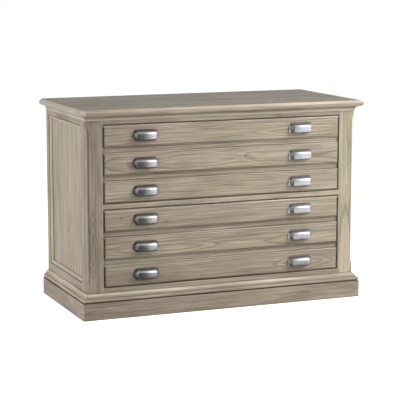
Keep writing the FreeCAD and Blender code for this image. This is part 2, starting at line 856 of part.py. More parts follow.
def ball_cage(level, kind, start, end, ball_line, ball_height):
    """The left cage of one pair of races, and the balls that it spaces."""
    outside = f"({ball_height} + dims.cage_gauge / 2)"
    name = f"{level}_{kind}_cage"
    cage = rolled_member(name, level, channel(start, end, "+", outside, "dims.cage_gauge"),
                         "layout.cage_front", "dims.cage_length")
    before = cage.Shape.Volume
    sketch = attach(cage, "XY_Plane", f"{name}_hole_outline")
    hole_radius = "dims.ball_radius + dims.cage_hole_clearance"
    centre = FreeCAD.Vector(value(ball_line), -value("dims.ball_end_margin"), 0)
    circle = Part.Circle(centre, FreeCAD.Vector(0, 0, 1), value(hole_radius))
    edge = sketch.addGeometry(circle)
    bind(sketch, "DistanceX", ball_line, -1, 1, edge, 3)
    bind(sketch, "DistanceY", "-dims.ball_end_margin", -1, 1, edge, 3)
    bind(sketch, "Radius", hole_radius, edge)
    hole = cage.newObject("PartDesign::Pocket", f"{name}_hole")
    hole.Profile = sketch
    hole.Type = "ThroughAll"
    hole.Midplane = True
    doc.recompute()
    row = repeat(cage, f"{name}_holes", hole, "Y_Axis", "layout.ball_row_length", BALLS_IN_ROW)
    row.Reversed = True
    doc.recompute()
    if cage.Shape.Volume >= before:
        raise RuntimeError(f"{name} has no holes")
    pieces = [cage]
    for number in range(BALLS_IN_ROW):
        along = f"layout.ball_row_length * {number} / {BALLS_IN_ROW - 1}"
        for side in ("+", "-"):
            word = "top" if side == "+" else "bottom"
            ball = doc.addObject("Part::Sphere", f"{level}_{kind}_{word}_ball_{number}")
            ball.setExpression("Radius", "dims.ball_radius")
            place(ball, f"-layout.opening_half + {ball_line}",
                  f"layout.cage_front + dims.ball_end_margin + {along}",
                  f"{slide_centre(level)} {side} {ball_height}")
            pieces.append(ball)
    keep(with_twins(f"{name}_pair", pieces), f"{level}_slide_{kind}_ball_cages")


for level_name in LEVELS:
    slide_members(level_name)
    ball_cage(level_name, "outer", "dims.outer_cage_start", "dims.outer_cage_end",
              "dims.outer_ball_line", "layout.outer_ball_height")
    ball_cage(level_name, "inner", "dims.inner_cage_start", "dims.inner_cage_end",
              "dims.inner_ball_line", "layout.inner_ball_height")


# Drawers

def drawer_front(level):
    """One board, worked to look like three drawers: sunk strips between raised bands."""
    name = f"{level}_front"
    body = profile_body(name, "XZ_Plane",
                        rectangle("0", "layout.front_width", "0", "layout.front_height"),
                        "dims.drawer_front_thickness", reverse=True)
    sunk = rectangle("0", "layout.front_width", "layout.band_height", "layout.band_pitch")
    strips = pocket(body, "XZ_Plane", f"{name}_strip", [sunk], "dims.strip_depth")
    repeat(body, f"{name}_strips", strips, "Z_Axis", "layout.band_pitch",
           BANDS_ON_A_FRONT - 1)
    edge = rectangle("0", "layout.front_width", "0", "layout.band_height")
    field = rectangle("dims.lip_width", "layout.front_width - dims.lip_width",
                      "dims.lip_width", "layout.band_height - dims.lip_width")
    lips = pocket(body, "XZ_Plane", f"{name}_lip", [edge, field], "dims.lip_step")
    repeat(body, f"{name}_lips", lips, "Z_Axis",
           f"{BANDS_ON_A_FRONT - 1} * layout.band_pitch", BANDS_ON_A_FRONT)
    place(body, "-layout.front_width / 2", "layout.case_front",
          f"{LEVELS[level]} + dims.drawer_gap")
    return keep(body, f"{level}_drawer_front")


def drawer_box(level):
    """The box behind a front: its ends are housed in the sides, its bottom in grooves."""
    floor = box_underside(level)
    end_half = "(layout.box_inner_half + dims.box_housing_depth)"
    bottom_half = "(layout.box_inner_half + dims.box_groove_depth)"
    back_start = "(layout.box_front + dims.box_length - dims.box_board)"
    bottom = board(
        f"{level}_bottom",
        f"-{bottom_half}",
        "layout.box_front + dims.box_board - dims.box_groove_depth",
        f"{floor} + dims.box_bottom_lift",
        f"2 * {bottom_half}",
        "dims.box_length - 2 * dims.box_board + 2 * dims.box_groove_depth",
        "dims.box_bottom_thickness",
    )
    ends = {}
    for name, start in (("sub_front", "layout.box_front"), ("back", back_start)):
        blank = board(f"{level}_{name}", f"-{end_half}", start, floor,
                      f"2 * {end_half}", "dims.box_board", "dims.box_height")
        ends[name] = cut(f"{level}_{name}", blank, bottom)
        keep(ends[name], f"{level}_drawer_{name}")
    side = board(f"{level}_side", "-layout.box_half", "layout.box_front", floor,
                 "dims.box_board", "dims.box_length", "dims.box_height")
    left = keep(cut(f"{level}_side", side, bottom, ends["sub_front"], ends["back"]),
                f"{level}_drawer_left_side")
    keep(mirrored(f"{level}_side_twin", left), f"{level}_drawer_right_side")
    keep(bottom, f"{level}_drawer_bottom")
    rails = []
    rail_places = (
        ("front", "layout.box_front + dims.box_board"),
        ("back", f"{back_start} - dims.file_rail_thickness"),
    )
    for name, start in rail_places:
        rails.append(board(
            f"{level}_{name}_file_rail",
            "-layout.box_inner_half",
            start,
            f"{floor} + dims.box_height + dims.file_rail_stand - dims.file_rail_height",
            "2 * layout.box_inner_half",
            "dims.file_rail_thickness",
            "dims.file_rail_height",
        ))
    keep(group(f"{level}_file_rail_pair", rails), f"{level}_file_rails")


for level_name in LEVELS:
    drawer_front(level_name)
    drawer_box(level_name)


# Cup pulls: a flange with rounded corners, and a cup that stands out from it. The cup is
# open behind onto the drawer front, and below for the fingers

def soft_cornered(half, low, high, radius):
    """An outline with four rounded corners."""
    return [
        (f"-({half} - {radius})", low),
        (f"{half} - {radius}", low, radius, 1),
        (half, f"{low} + {radius}"),
        (half, f"{high} - {radius}", radius, 1),
        (f"{half} - {radius}", high),
        (f"-({half} - {radius})", high, radius, 1),
        (f"-({half})", f"{high} - {radius}"),
        (f"-({half})", f"{low} + {radius}", radius, 1),
    ]


def cup(name, inset):
    """The cup's outer form, or with an inset its hollow, rounded along its front edges."""
    half = f"(dims.pull_width / 2 - dims.pull_end_rim - {inset})"
    low = f"(dims.pull_rim + {inset})"
    high = f"(dims.pull_height - dims.pull_rim - {inset})"
    radius = f"(dims.pull_corner_radius - {inset})"
    reach = f"(dims.pull_projection - {inset})"
    block = profile_body(name, "XZ_Plane", soft_cornered(half, low, high, radius), reach)
    own_radii = {value(low): "dims.pull_lip_radius", value(high): "dims.pull_brow_radius"}

    def edge_radius(height):
        """The lip below and the brow above each have a radius, and the ends have another."""
        for level, size in own_radii.items():
            if abs(height - level) < CLOSE:
                return value(f"{size} - {inset}")
        return value(f"dims.pull_edge_radius - {inset}")

    front_edges = []
    for number, edge in enumerate(block.Shape.Edges, start=1):
        ends = [vertex.Point for vertex in edge.Vertexes]
        if all(abs(point.y + value(reach)) < CLOSE for point in ends):
            front_edges.append((number, *(edge_radius(point.z) for point in ends)))
    fillet = doc.addObject("Part::Fillet", f"{name}_rounded")
    fillet.Base = block
    fillet.Edges = front_edges
    doc.recompute()
    return fillet


def cup_pull():
    """One pull at the left column, level with the floor of the frame."""
    flange = profile_body(
        "pull_flange",
        "XZ_Plane",
        soft_cornered("dims.pull_width / 2", "0", "dims.pull_height",
                      "(dims.pull_corner_radius + dims.pull_rim)"),
        "dims.pull_flange_thickness",
    )
    opening_half = "(dims.pull_width / 2 - dims.pull_end_rim - dims.pull_corner_radius)"
    opening_front = "(dims.pull_projection - dims.pull_wall - dims.pull_lip_radius)"
    opening = board(
        "pull_opening",
        f"-{opening_half}",
        f"-{opening_front}",
        "dims.pull_rim",
        f"2 * {opening_half}",
        f"{opening_front} - dims.pull_flange_thickness",
        "dims.pull_wall",
    )
    blank = fused("pull_blank", [flange, cup("pull_cup", "0")])
    pull = cut("pull", blank, cup("pull_hollow", "dims.pull_wall"), opening)
    return place(pull, "-dims.pull_spacing / 2", "layout.case_front", "0")


def cup_pulls():
    """A pair of pulls on each band of both drawers, centred on the band's height."""
    left = cup_pull()
    pair = with_twins("pull_pair", [left])
    band_names = ("bottom", "middle", "top")
    for level, opening_floor in LEVELS.items():
        for number, band in enumerate(band_names):
            row = group(f"{level}_{band}_pulls", [pair])
            height = (f"{opening_floor} + dims.drawer_gap + {number} * layout.band_pitch"
                      " + (layout.band_height - dims.pull_height) / 2")
            place(row, "0", "0", height)
            keep(row, f"{level}_drawer_{band}_pulls")


cup_pulls()


# Checks, then one file for each piece

doc.recompute()
for item in doc.Objects:
    if "Invalid" in item.State or "Error" in item.State:
        raise RuntimeError(f"{item.Label} did not build: {item.State}")
for piece in PIECES:
    if piece.Shape.isNull() or not piece.Shape.isValid():
        raise RuntimeError(f"{piece.Label} has no sound shape")
for piece in PIECES:
    piece.Shape.exportStep(f"parts/{piece.Label}.step")
    box = piece.Shape.BoundBox
    spans = f"{box.XLength:.1f} x {box.YLength:.1f} x {box.ZLength:.1f} mm"
    print(f"{piece.Label}: {len(piece.Shape.Solids)} solids, {spans}")
print(f"{len(PIECES)} pieces written")
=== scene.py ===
# %% [markdown]
# # A weathered filing credenza
# This lesson dresses a low wooden credenza with two deep file drawers. The construction comes
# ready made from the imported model: every board, moulding, pull and drawer slide is a mesh in
# metres that already sits in its place. What is left to do here is the finish of each
# surface, and the studio around the piece.

# %% Load the frame
import math
import random

import bpy
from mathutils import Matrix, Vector


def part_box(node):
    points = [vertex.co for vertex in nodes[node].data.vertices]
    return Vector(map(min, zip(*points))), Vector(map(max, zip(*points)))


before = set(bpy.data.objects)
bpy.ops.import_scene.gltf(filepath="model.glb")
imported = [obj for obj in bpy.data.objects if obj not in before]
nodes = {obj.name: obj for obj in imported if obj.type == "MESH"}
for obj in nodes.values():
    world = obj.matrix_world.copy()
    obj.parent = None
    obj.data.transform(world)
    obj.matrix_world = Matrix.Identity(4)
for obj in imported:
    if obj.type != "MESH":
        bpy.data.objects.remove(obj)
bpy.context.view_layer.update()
print("nodes in the frame:", len(nodes))

# %% [markdown]
# ## Making nodes
# Every finish here is a tree of shader nodes. Such a tree can be drawn by hand or written out
# node by node, but it is easier to read when one line makes one node. `add` makes a node,
# sets its options and feeds its inputs. `calc` does the same for sums and gives back the
# result's socket, so that sums can be nested like ordinary ones.

# %% Node helpers


def feed(tree, socket, source):
    """Links a socket to another one, or fills it with a value."""
    if isinstance(source, bpy.types.NodeSocket):
        tree.links.new(source, socket)
    else:
        socket.default_value = source


def fill(tree, node, inputs):
    """Feeds several inputs of a node, which are called by name or by number."""
    for name, source in inputs.items():
        feed(tree, node.inputs[name], source)


def add(tree, kind, inputs=None, **settings):
    """Makes a node, sets its options and feeds its inputs."""
    made = tree.nodes.new(kind)
    for name, setting in settings.items():
        setattr(made, name, setting)
    fill(tree, made, inputs or {})
    return made


def calc(tree, operation, first, second=0.0, clamp=False):
    """One sum in a tree."""
    made = add(tree, "ShaderNodeMath", {0: first, 1: second}, operation=operation,
               use_clamp=clamp)
    return made.outputs[0]


def vector_calc(tree, operation, first, second):
    """One sum on vectors."""
    made = add(tree, "ShaderNodeVectorMath", {0: first, 1: second}, operation=operation)
    return made.outputs[0]


print("node helpers ready")

# %% [markdown]
# ## Ranges, colours and noise
# Nearly every mark comes from stretching one range of numbers over another. `spread` does
# that, and most of its uses need four numbers: where a mark begins, where it ends, and its
# share at both places. A curve node could shape each mark more freely, but four numbers can
# be read, compared and named. The other helpers here mix colours, make noise, read
# coordinates, and start a material.

# %% Shading helpers


def spread(tree, source, low, high, to_low=0.0, to_high=1.0, smooth=False):
    """Stretches the range low to high over a new range and holds it there."""
    made = add(tree, "ShaderNodeMapRange",
               {"Value": source, "From Min": low, "From Max": high,
                "To Min": to_low, "To Max": to_high},
               interpolation_type="SMOOTHSTEP" if smooth else "LINEAR", clamp=True)
    return made.outputs[0]


def blend_colour(tree, amount, first, second, mode="MIX"):
    """Mixes two colours."""
    made = add(tree, "ShaderNodeMix", {0: amount, 6: first, 7: second}, data_type="RGBA",
               blend_type=mode)
    return made.outputs[2]


def noise(tree, vector, scale, detail=3.0, roughness=0.5):
    """A noise field from 0 to 1."""
    made = add(tree, "ShaderNodeTexNoise",
               {"Vector": vector, "Scale": scale, "Detail": detail, "Roughness": roughness},
               noise_dimensions="3D")
    return made.outputs["Fac"]


def coordinates(tree, kind="Object"):
    """Where a point lies, in the object's own frame or within its box."""
    return add(tree, "ShaderNodeTexCoord").outputs[kind]


def parts(tree, vector):
    """The three parts of a vector."""
    return add(tree, "ShaderNodeSeparateXYZ", {0: vector}).outputs


def bump(tree, height, strength, distance, normal=None):
    """A normal that is tilted by a height, on top of another normal if there is one."""
    made = add(tree, "ShaderNodeBump",
               {"Strength": strength, "Distance": distance, "Height": height})
    if normal is not None:
        feed(tree, made.inputs["Normal"], normal)
    return made.outputs["Normal"]


def start_material(name):
    """A new material, its tree and its shader."""
    material = bpy.data.materials.new(name)
    material.use_nodes = True
    return material, material.node_tree, material.node_tree.nodes["Principled BSDF"]


print("shading helpers ready")

# %% [markdown]
# ## Masks
# Most marks on this piece lie at a known distance from something: a line beside a gap, a
# worn ridge, a glazed groove. They could be painted on an image, but an image is only sharp
# up to its own size, and every board would need one. A mask worked out from the coordinates
# is sharp at any distance. `near` makes a mask round one value, from three numbers: the
# distance up to which it is full, the one from which it is gone, and its share. `between`
# makes a mask over a range, while `product` and `largest` put masks together.

# %% Mask helpers


def product(tree, first, *others):
    """Several numbers multiplied."""
    for other in others:
        first = calc(tree, "MULTIPLY", first, other)
    return first


def largest(tree, first, *others):
    """The largest of several numbers."""
    for other in others:
        first = calc(tree, "MAXIMUM", first, other)
    return first


def distance(tree, source, value):
    """How far a number is from a value."""
    return calc(tree, "ABSOLUTE", calc(tree, "SUBTRACT", source, value))


def near(tree, source, value, full, gone, amount=1.0):
    """A mask round a value: its full amount up to one distance, and nothing from the next."""
    return spread(tree, distance(tree, source, value), full, gone, amount, 0.0)


def between(tree, source, rise, fall, amount=1.0):
    """A mask that rises over one pair of values and falls over another."""
    return product(tree, spread(tree, source, *rise),
                   spread(tree, source, *fall, amount, 0.0))


def own_place(tree):
    """The three coordinates of the object's own frame."""
    return parts(tree, coordinates(tree))


def facing(tree):
    """The three parts of the surface's normal."""
    return parts(tree, add(tree, "ShaderNodeNewGeometry").outputs["Normal"])


print("mask helpers ready")

# %% [markdown]
# ## Node groups
# An effect that several materials share could be built anew in each of them. A node group is
# built once and placed many times, and a change to it reaches all of them. A group gives out
# masks or colours only, and the shader itself stays in the material.

# %% Group helpers
FLOAT = "NodeSocketFloat"
VECTOR = "NodeSocketVector"
COLOUR = "NodeSocketColor"


def new_group(name, inputs, outputs):
    """An empty node group with named sockets, and its two end nodes."""
    group = bpy.data.node_groups.new(name, "ShaderNodeTree")
    for label, kind, default in inputs:
        socket = group.interface.new_socket(name=label, in_out="INPUT", socket_type=kind)
        if default is not None:
            socket.default_value = default
    for label, kind in outputs:
        group.interface.new_socket(name=label, in_out="OUTPUT", socket_type=kind)
    return group, group.nodes.new("NodeGroupInput"), group.nodes.new("NodeGroupOutput")


def use_group(tree, group, inputs):
    """Places a node group in a material."""
    return add(tree, "ShaderNodeGroup", inputs, node_tree=group)


print("group helpers ready")

# %% [markdown]
# ## The figure of a plain-sawn board
# A board shows arches and ovals because the saw cuts through nested growth rings at a slight
# slant. The same can be done with a formula. Each point's distance from a wandering pith line
# is measured, and the distance is cut into rings. Where the pith line comes near the surface,
# the rings close into the pointed ovals that joiners call cathedrals.
#
# On top of the rings lie fine streaks along the grain, short dark pores that the wire brush
# has opened, and broad clouds of tone. All of them are noise that is stretched along the
# grain. The group puts out masks only, and each wood mixes its own colours with them.

# %% Wood figure group
# Scales of the noise fields: along the grain, across it and into the board
SWAY_SCALE = (1.6, 5.0, 5.0)
DIP_SCALE = (2.3, 3.0, 3.0)
RIPPLE_SCALE = (14.0, 60.0, 60.0)
STREAK_SCALE = (5.0, 170.0, 170.0)
FIBRE_SCALE = (32.0, 900.0, 900.0)
CLOUD_SCALE = (3.2, 14.0, 14.0)
WARMTH_SCALE = (2.1, 6.0, 6.0)
SEED_STEP = 1.37  # how far one seed moves a board in the noise
RIPPLE_DEPTH = 0.39  # of a ring's width
RING_SHARPNESS = 5.0  # a ring darkens slowly toward its late wood and then ends at once
RING_END = (0.93, 1.0, 1.0, 0.0)
RING_STRENGTHS = (0.0, 1.0, 0.40, 1.0)
OPEN_PORES = (0.60, 0.74)
PORES_IN_RING = (0.35, 0.95, 0.25, 1.0)
PORE_DEPTH = 0.7
RING_DEPTH = 0.5


def build_wood_figure():
    """Masks for rings, streaks, pores and clouds. The grain runs along the vector's X."""
    group, start, end = new_group(
        "wood figure",
        [("Vector", VECTOR, None), ("Ring Width", FLOAT, 0.008), ("Slant", FLOAT, 0.05),
         ("Wander", FLOAT, 0.05), ("Seed", FLOAT, 0.0)],
        [("Rings", FLOAT), ("Streaks", FLOAT), ("Pores", FLOAT), ("Clouds", FLOAT),
         ("Warmth", FLOAT), ("Height", FLOAT)],
    )
    given = start.outputs
    own = add(group, "ShaderNodeCombineXYZ", {0: product(group, given["Seed"], SEED_STEP)})
    place = vector_calc(group, "ADD", given["Vector"], own.outputs[0])

    def field(scales, scale=1.0, detail=2.0, roughness=0.5):
        """Noise that is stretched along the grain."""
        return noise(group, vector_calc(group, "MULTIPLY", place, scales), scale, detail,
                     roughness)

    def swing(source, amount):
        """Turns noise from 0 to 1 into a swing to both sides."""
        return product(group, calc(group, "SUBTRACT", source, 0.5), amount)

    along, across, depth = parts(group, given["Vector"])
    side = calc(group, "ADD", across, swing(field(SWAY_SCALE), given["Wander"]))
    below = calc(group, "ADD", depth, product(group, along, given["Slant"]))
    below = calc(group, "ADD", below, swing(field(DIP_SCALE, 1.7), given["Wander"]))
    squared = calc(group, "ADD", product(group, side, side), product(group, below, below))
    radius = calc(group, "SQRT", squared)
    count = calc(group, "ADD", swing(field(RIPPLE_SCALE), RIPPLE_DEPTH),
                 calc(group, "DIVIDE", radius, given["Ring Width"]))
    within = calc(group, "FRACT", count)
    line = product(group, calc(group, "POWER", within, RING_SHARPNESS),
                   spread(group, within, *RING_END))
    ring_number = add(group, "ShaderNodeTexWhiteNoise",
                      {"W": calc(group, "FLOOR", count)}, noise_dimensions="1D")
    rings = product(group, line, spread(group, ring_number.outputs["Value"],
                                        *RING_STRENGTHS))
    streaks = field(STREAK_SCALE, detail=5.0, roughness=0.62)
    fibres = field(FIBRE_SCALE, detail=3.0, roughness=0.6)
    pores = product(group, spread(group, fibres, *OPEN_PORES),
                    spread(group, within, *PORES_IN_RING))
    height = calc(group, "SUBTRACT", streaks, product(group, pores, PORE_DEPTH))
    height = calc(group, "SUBTRACT", height, product(group, rings, RING_DEPTH))
    for label, source in (("Rings", rings), ("Streaks", streaks), ("Pores", pores),
                          ("Clouds", field(CLOUD_SCALE, detail=3.0, roughness=0.55)),
                          ("Warmth", field(WARMTH_SCALE, 1.3)), ("Height", height)):
        group.links.new(source, end.inputs[label])
    return group


wood_figure = build_wood_figure()
print("group:", wood_figure.name, "nodes:", len(wood_figure.nodes))

# %% [markdown]
# ## The glaze, the worn edges, and painted shade and highlights
# The maker wiped a dark glaze over the pale wood. It stays in corners, gaps and quirks, and it
# is rubbed away along the edges. The same dark brown also paints the shade that falls into
# those corners and gaps, and the pale edges are also painted highlights. Ambient occlusion
# finds the corners, and the difference between the true normal and a rounded one finds the
# edges. Both are measured in the material itself. This group only turns them into colour.

# %% Glaze group
# A dark brown for the glaze, and for the painted shade in corners and gaps
GLAZE_AND_SHADE_BROWN = (0.050, 0.025, 0.010, 1.0)
UNEVEN_BORDER = (0.3, 0.7, -0.08, 0.08)  # how the clouds move the glaze's border
GLAZE_AND_SHADE_IN_CORNERS = (0.34, 0.90, 1.0, 0.0)
RUBBED_PATCHES = (0.3, 0.6, 0.25, 1.0)
OPEN_EDGE = (0.7, 0.95)


def glaze_and_shade_over(tree, amount, colour):
    """A colour under some of the dark glaze brown, which stands for glaze and also for painted
    shade.
    """
    return blend_colour(tree, amount, colour, GLAZE_AND_SHADE_BROWN)


def build_glaze_wear_and_painted_light():
    """Lays a dark glaze and painted shade into the corners of a colour, and lightens its edges
    with wear and a painted highlight.
    """
    group, start, end = new_group(
        "glaze and wear",
        [("Color", COLOUR, None), ("Openness", FLOAT, 1.0), ("Edge", FLOAT, 0.0),
         ("Breakup", FLOAT, 0.5), ("Worn Color", COLOUR, (0.55, 0.47, 0.37, 1.0)),
         ("Amount", FLOAT, 0.8)],
        [("Color", COLOUR)],
    )
    given = start.outputs
    openness = calc(group, "ADD", given["Openness"],
                    spread(group, given["Breakup"], *UNEVEN_BORDER))
    # The corners get glaze and painted shade, and the open edges get wear and a painted
    # highlight
    corner = product(group, spread(group, openness, *GLAZE_AND_SHADE_IN_CORNERS), given["Amount"])
    edge = product(group, given["Edge"], spread(group, given["Breakup"], *RUBBED_PATCHES),
                   spread(group, openness, *OPEN_EDGE))
    worn_and_highlit = blend_colour(group, edge, given["Color"], given["Worn Color"])
    group.links.new(glaze_and_shade_over(group, corner, worn_and_highlit), end.inputs["Color"])
    return group


glaze_wear_and_painted_light = build_glaze_wear_and_painted_light()
print("group:", glaze_wear_and_painted_light.name, "nodes:", len(glaze_wear_and_painted_light.nodes))

# %% [markdown]
# ## Colours of the wood
# The real wood is a pale timber that was greyed and glazed. Its body swings between a lighter
# and a deeper grey-brown, with warm and olive clouds. One stile is yellower than the rest.
# Photographed wood could give these colours, but then every board would show the same plank.
# A few colours that are mixed by noise give a new plank each time.

# %% Wood colours
PALE = (0.462, 0.388, 0.302, 1.0)
DEEP = (0.312, 0.256, 0.192, 1.0)
YELLOW_PALE = (0.468, 0.425, 0.300, 1.0)
YELLOW_DEEP = (0.346, 0.310, 0.207, 1.0)
SAPWOOD = (0.620, 0.545, 0.385, 1.0)
WARM = (0.420, 0.330, 0.262, 1.0)
OLIVE = (0.400, 0.362, 0.252, 1.0)
RING_BROWN = (0.120, 0.082, 0.052, 1.0)
PORE_BROWN = (0.110, 0.080, 0.054, 1.0)
WORN_AND_LIT = (0.655, 0.595, 0.470, 1.0)
BARE_AND_LIT = (0.800, 0.745, 0.620, 1.0)


def toned(colour, tone):
    """A colour made lighter by a tone above 1, or darker by one below it."""
    return tuple(min(1.0, channel * tone) for channel in colour[:3]) + (1.0,)


print("pale wood:", PALE[:3], "deep wood:", DEEP[:3])

# %% [markdown]
# ## Figures whose place is known
# A few boards show one clear figure of nested, pointed ovals, always at the same spot. Noise
# would have to be searched for a seed that puts one there. It is surer to draw the figure
# with a formula: a distance that grows from the figure's middle, and is cut into rings.

# %% Nested ovals
POINT_ROUNDING = 0.012  # keeps the innermost oval from closing to a line
OVAL_WOBBLE = (0.25, 0.75, -0.045, 0.045)
OVAL_WOBBLE_SCALE = 38.0
OVAL_BORDER = (0.995, 1.005, 1.0, 0.0)


def nested_ovals(tree, colour, axes, centre, half_width, reaches, count, power, amount,
                 paleness):
    """Growth rings that close into one pointed figure on a board's face.

    The axes are those across and along the grain. Reaches are the figure's lengths up and
    down the grain from its middle. A higher power makes thinner lines.
    """
    place = own_place(tree)
    across, along = (calc(tree, "SUBTRACT", place["xyz".index(axis)], start)
                     for axis, start in zip(axes, centre))
    across = calc(tree, "DIVIDE", across, half_width)
    across = calc(tree, "ADD", product(tree, across, across), POINT_ROUNDING)
    reach = largest(tree, calc(tree, "DIVIDE", along, reaches[0]),
                    calc(tree, "DIVIDE", along, -reaches[1]))
    size = calc(tree, "ADD", calc(tree, "SQRT", across), product(tree, reach, reach))
    wobble = noise(tree, coordinates(tree), OVAL_WOBBLE_SCALE, 2.0)
    size = calc(tree, "ADD", size, spread(tree, wobble, *OVAL_WOBBLE))
    within = calc(tree, "FRACT", product(tree, size, float(count)))
    inside = spread(tree, size, *OVAL_BORDER)
    line = product(tree, calc(tree, "POWER", within, power), inside, amount)
    colour = blend_colour(tree, product(tree, inside, paleness), colour, SAPWOOD)
    return blend_colour(tree, line, colour, RING_BROWN)


print("ovals wobble by", OVAL_WOBBLE[-1], "of their width")

# %% [markdown]
# ## One wood material for each board
# Real boards differ, even in one case. One material could serve them all, but then the rings
# would run on from board to board as if the case were carved from a block. So each board gets
# its own material, made by the same function with another seed: the seed moves the board to
# another place in the imaginary log. The grain's direction is a choice of axes, because every
# mesh keeps the object's own coordinates.

# %% Board coordinates
# The axes along, across and into each way of cutting a board: 0 is X, 1 is Y and 2 is Z
GRAIN_AXES = {"x": (0, 2, 1), "y": (1, 2, 0), "z": (2, 0, 1), "z side": (2, 1, 0),
              "x flat": (0, 1, 2)}
BOARD_SHIFTS = ((-0.5, 0.5), (-0.03, 0.03), (-0.02, 0.03))


def board_vector(tree, axes, centre, shift):
    """The board's own coordinates: along, across and into the grain, from a shifted centre."""
    place = own_place(tree)
    turned = add(tree, "ShaderNodeCombineXYZ",
                 {index: place[axis] for index, axis in enumerate(axes)})
    offset = tuple(moved - centre[axis] for moved, axis in zip(shift, axes))
    return vector_calc(tree, "ADD", turned.outputs[0], offset)


print("ways to cut a board:", ", ".join(GRAIN_AXES))

# %% [markdown]
# ## The wood material
# The colour is built up in the order in which the real finish came about. First comes the
# body with its clouds and tints, then streaks, rings and pores, then the marks of this one
# board, and last the glaze and the worn edges. The glaze also paints shade into the corners,
# and the worn edges are also painted highlights. One big image could hold all of that, but
# each layer that stays apart can be changed alone. The brushed grain is left to the bump,
# because it is finer than any mesh could show.

# %% Wood material
RING_WIDTH = 0.009
SLANT = 0.055
WANDER = 0.055
CLOUDY = (0.32, 0.68)
TINTS = ((WARM, 0.50, 0.66), (OLIVE, 0.50, 0.34))
TINTING = 0.55
STREAKY = (0.32, 0.64, 0.64, 1.16)
PORE_STRENGTH = 0.45
SATIN = (0.3, 0.7, 0.62, 0.48)  # dull streaks are rougher than smooth ones
GLOSS = 0.32
GRAIN_STRENGTH = 0.22
GRAIN_DEPTH = 0.0006
EDGE_ROUNDING = 0.0020
EDGE_TURN = (0.995, 0.90)  # how far the rounded normal has turned away at an edge
CORNER_REACH = 0.0065


def wood_material(name, grain, seed, tone, centre, rings, pale=PALE, deep=DEEP, corner_darkening=1.0,
                  tinting=TINTING, gloss=GLOSS, corner_reach=CORNER_REACH, layer=None,
                  ovals=()):
    """A wire-brushed, glazed board. Tone above 1 is a paler board, below 1 a darker one.

    The layer is a function that adds the marks of a single kind of board. The ovals are
    figures whose place on the board is known.
    """
    chance = random.Random(seed)
    shift = [chance.uniform(*reach) for reach in BOARD_SHIFTS]
    material, tree, shader = start_material(name)
    figure = use_group(tree, wood_figure,
                       {"Vector": board_vector(tree, GRAIN_AXES[grain], centre, shift),
                        "Ring Width": RING_WIDTH, "Slant": SLANT, "Wander": WANDER,
                        "Seed": float(seed)}).outputs
    cloud = spread(tree, figure["Clouds"], *CLOUDY)
    colour = blend_colour(tree, cloud, toned(deep, tone), toned(pale, tone))
    for tint, low, high in TINTS:
        amount = spread(tree, figure["Warmth"], low, high, 0.0, tinting)
        colour = blend_colour(tree, amount, colour, toned(tint, tone))
    streak = spread(tree, figure["Streaks"], *STREAKY)
    colour = blend_colour(tree, 1.0, colour, streak, "MULTIPLY")
    colour = blend_colour(tree, product(tree, figure["Rings"], rings), colour, RING_BROWN)
    for oval in ovals:
        colour = nested_ovals(tree, colour, *oval)
    pores = product(tree, figure["Pores"], PORE_STRENGTH)
    colour = blend_colour(tree, pores, colour, PORE_BROWN)
    if layer is not None:
        colour = layer(tree, colour, figure)

    # Ambient occlusion finds the corners for the glaze and painted shade, and the rounded
    # normal finds the edges for wear and painted highlights
    corners = add(tree, "ShaderNodeAmbientOcclusion", {"Distance": corner_reach}, samples=12)
    rounded = add(tree, "ShaderNodeBevel", {"Radius": EDGE_ROUNDING}, samples=6).outputs[0]
    true_normal = add(tree, "ShaderNodeNewGeometry").outputs["Normal"]
    agreement = add(tree, "ShaderNodeVectorMath", {0: true_normal, 1: rounded},
                    operation="DOT_PRODUCT").outputs["Value"]
    finish = use_group(tree, glaze_wear_and_painted_light,
                       {"Color": colour, "Openness": corners.outputs["AO"],
                        "Edge": spread(tree, agreement, *EDGE_TURN),
                        "Breakup": figure["Clouds"], "Worn Color": WORN_AND_LIT, "Amount": corner_darkening})
    fill(tree, shader,
         {"Base Color": finish.outputs["Color"],
          "Roughness": spread(tree, figure["Streaks"], *SATIN),
          "Specular IOR Level": gloss,
          "Normal": bump(tree, figure["Height"], GRAIN_STRENGTH, GRAIN_DEPTH, rounded)})
    return material


print("rings are", RING_WIDTH * 1000, "mm wide")

# %% [markdown]
# ## Drawer fronts
# Each front is one wide board made to look like three: raised bands with sunk strips between
# them. The finisher left glaze on the narrow step round the bands, and rubbed their upper
# edges nearly bare. The pale upper edges are also painted highlights, growing toward the light
# on the right, and the dark lines beside the gaps and under each band are also painted shade.
# Ambient occlusion alone would darken both edges of a strip alike, so the marks are placed by
# height. The lower front also has three pin knots.

# %% Measures of the drawer fronts
FRONT_BOXES = [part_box(f"{level}_drawer_front") for level in ("lower", "upper")]
FRONT_EDGES = [corner[2] for box in FRONT_BOXES for corner in box]
FRONT_HALF_WIDTH = FRONT_BOXES[0][1][0]
LIP_DEPTH = 0.0014
LIP_FACE = FRONT_BOXES[0][0][1] + LIP_DEPTH
STRIP_RISES = (0.0908, 0.1922)  # of the sunk strips above a front's foot
STRIP_MIDDLES = [box[0][2] + rise for box in FRONT_BOXES for rise in STRIP_RISES]
STRIP_HALF = 0.0105
# Rubbed upper edges of the bands, which are also painted highlights: height, where the rubbing
# starts and ends below it, share
WORN_AND_LIT_EDGES = [(edge, 0.0017, 0.0052, 1.0) for edge in FRONT_EDGES[1::2]]
WORN_AND_LIT_EDGES += [(strip - STRIP_HALF, -0.0008, 0.0028, 0.55) for strip in STRIP_MIDDLES]
KNOTS = ((-0.404, 0.364, 0.0042), (-0.236, 0.341, 0.0036), (-0.228, 0.343, 0.0028))
print("front edges:", [round(edge, 4) for edge in FRONT_EDGES],
      "strips:", [round(strip, 4) for strip in STRIP_MIDDLES])
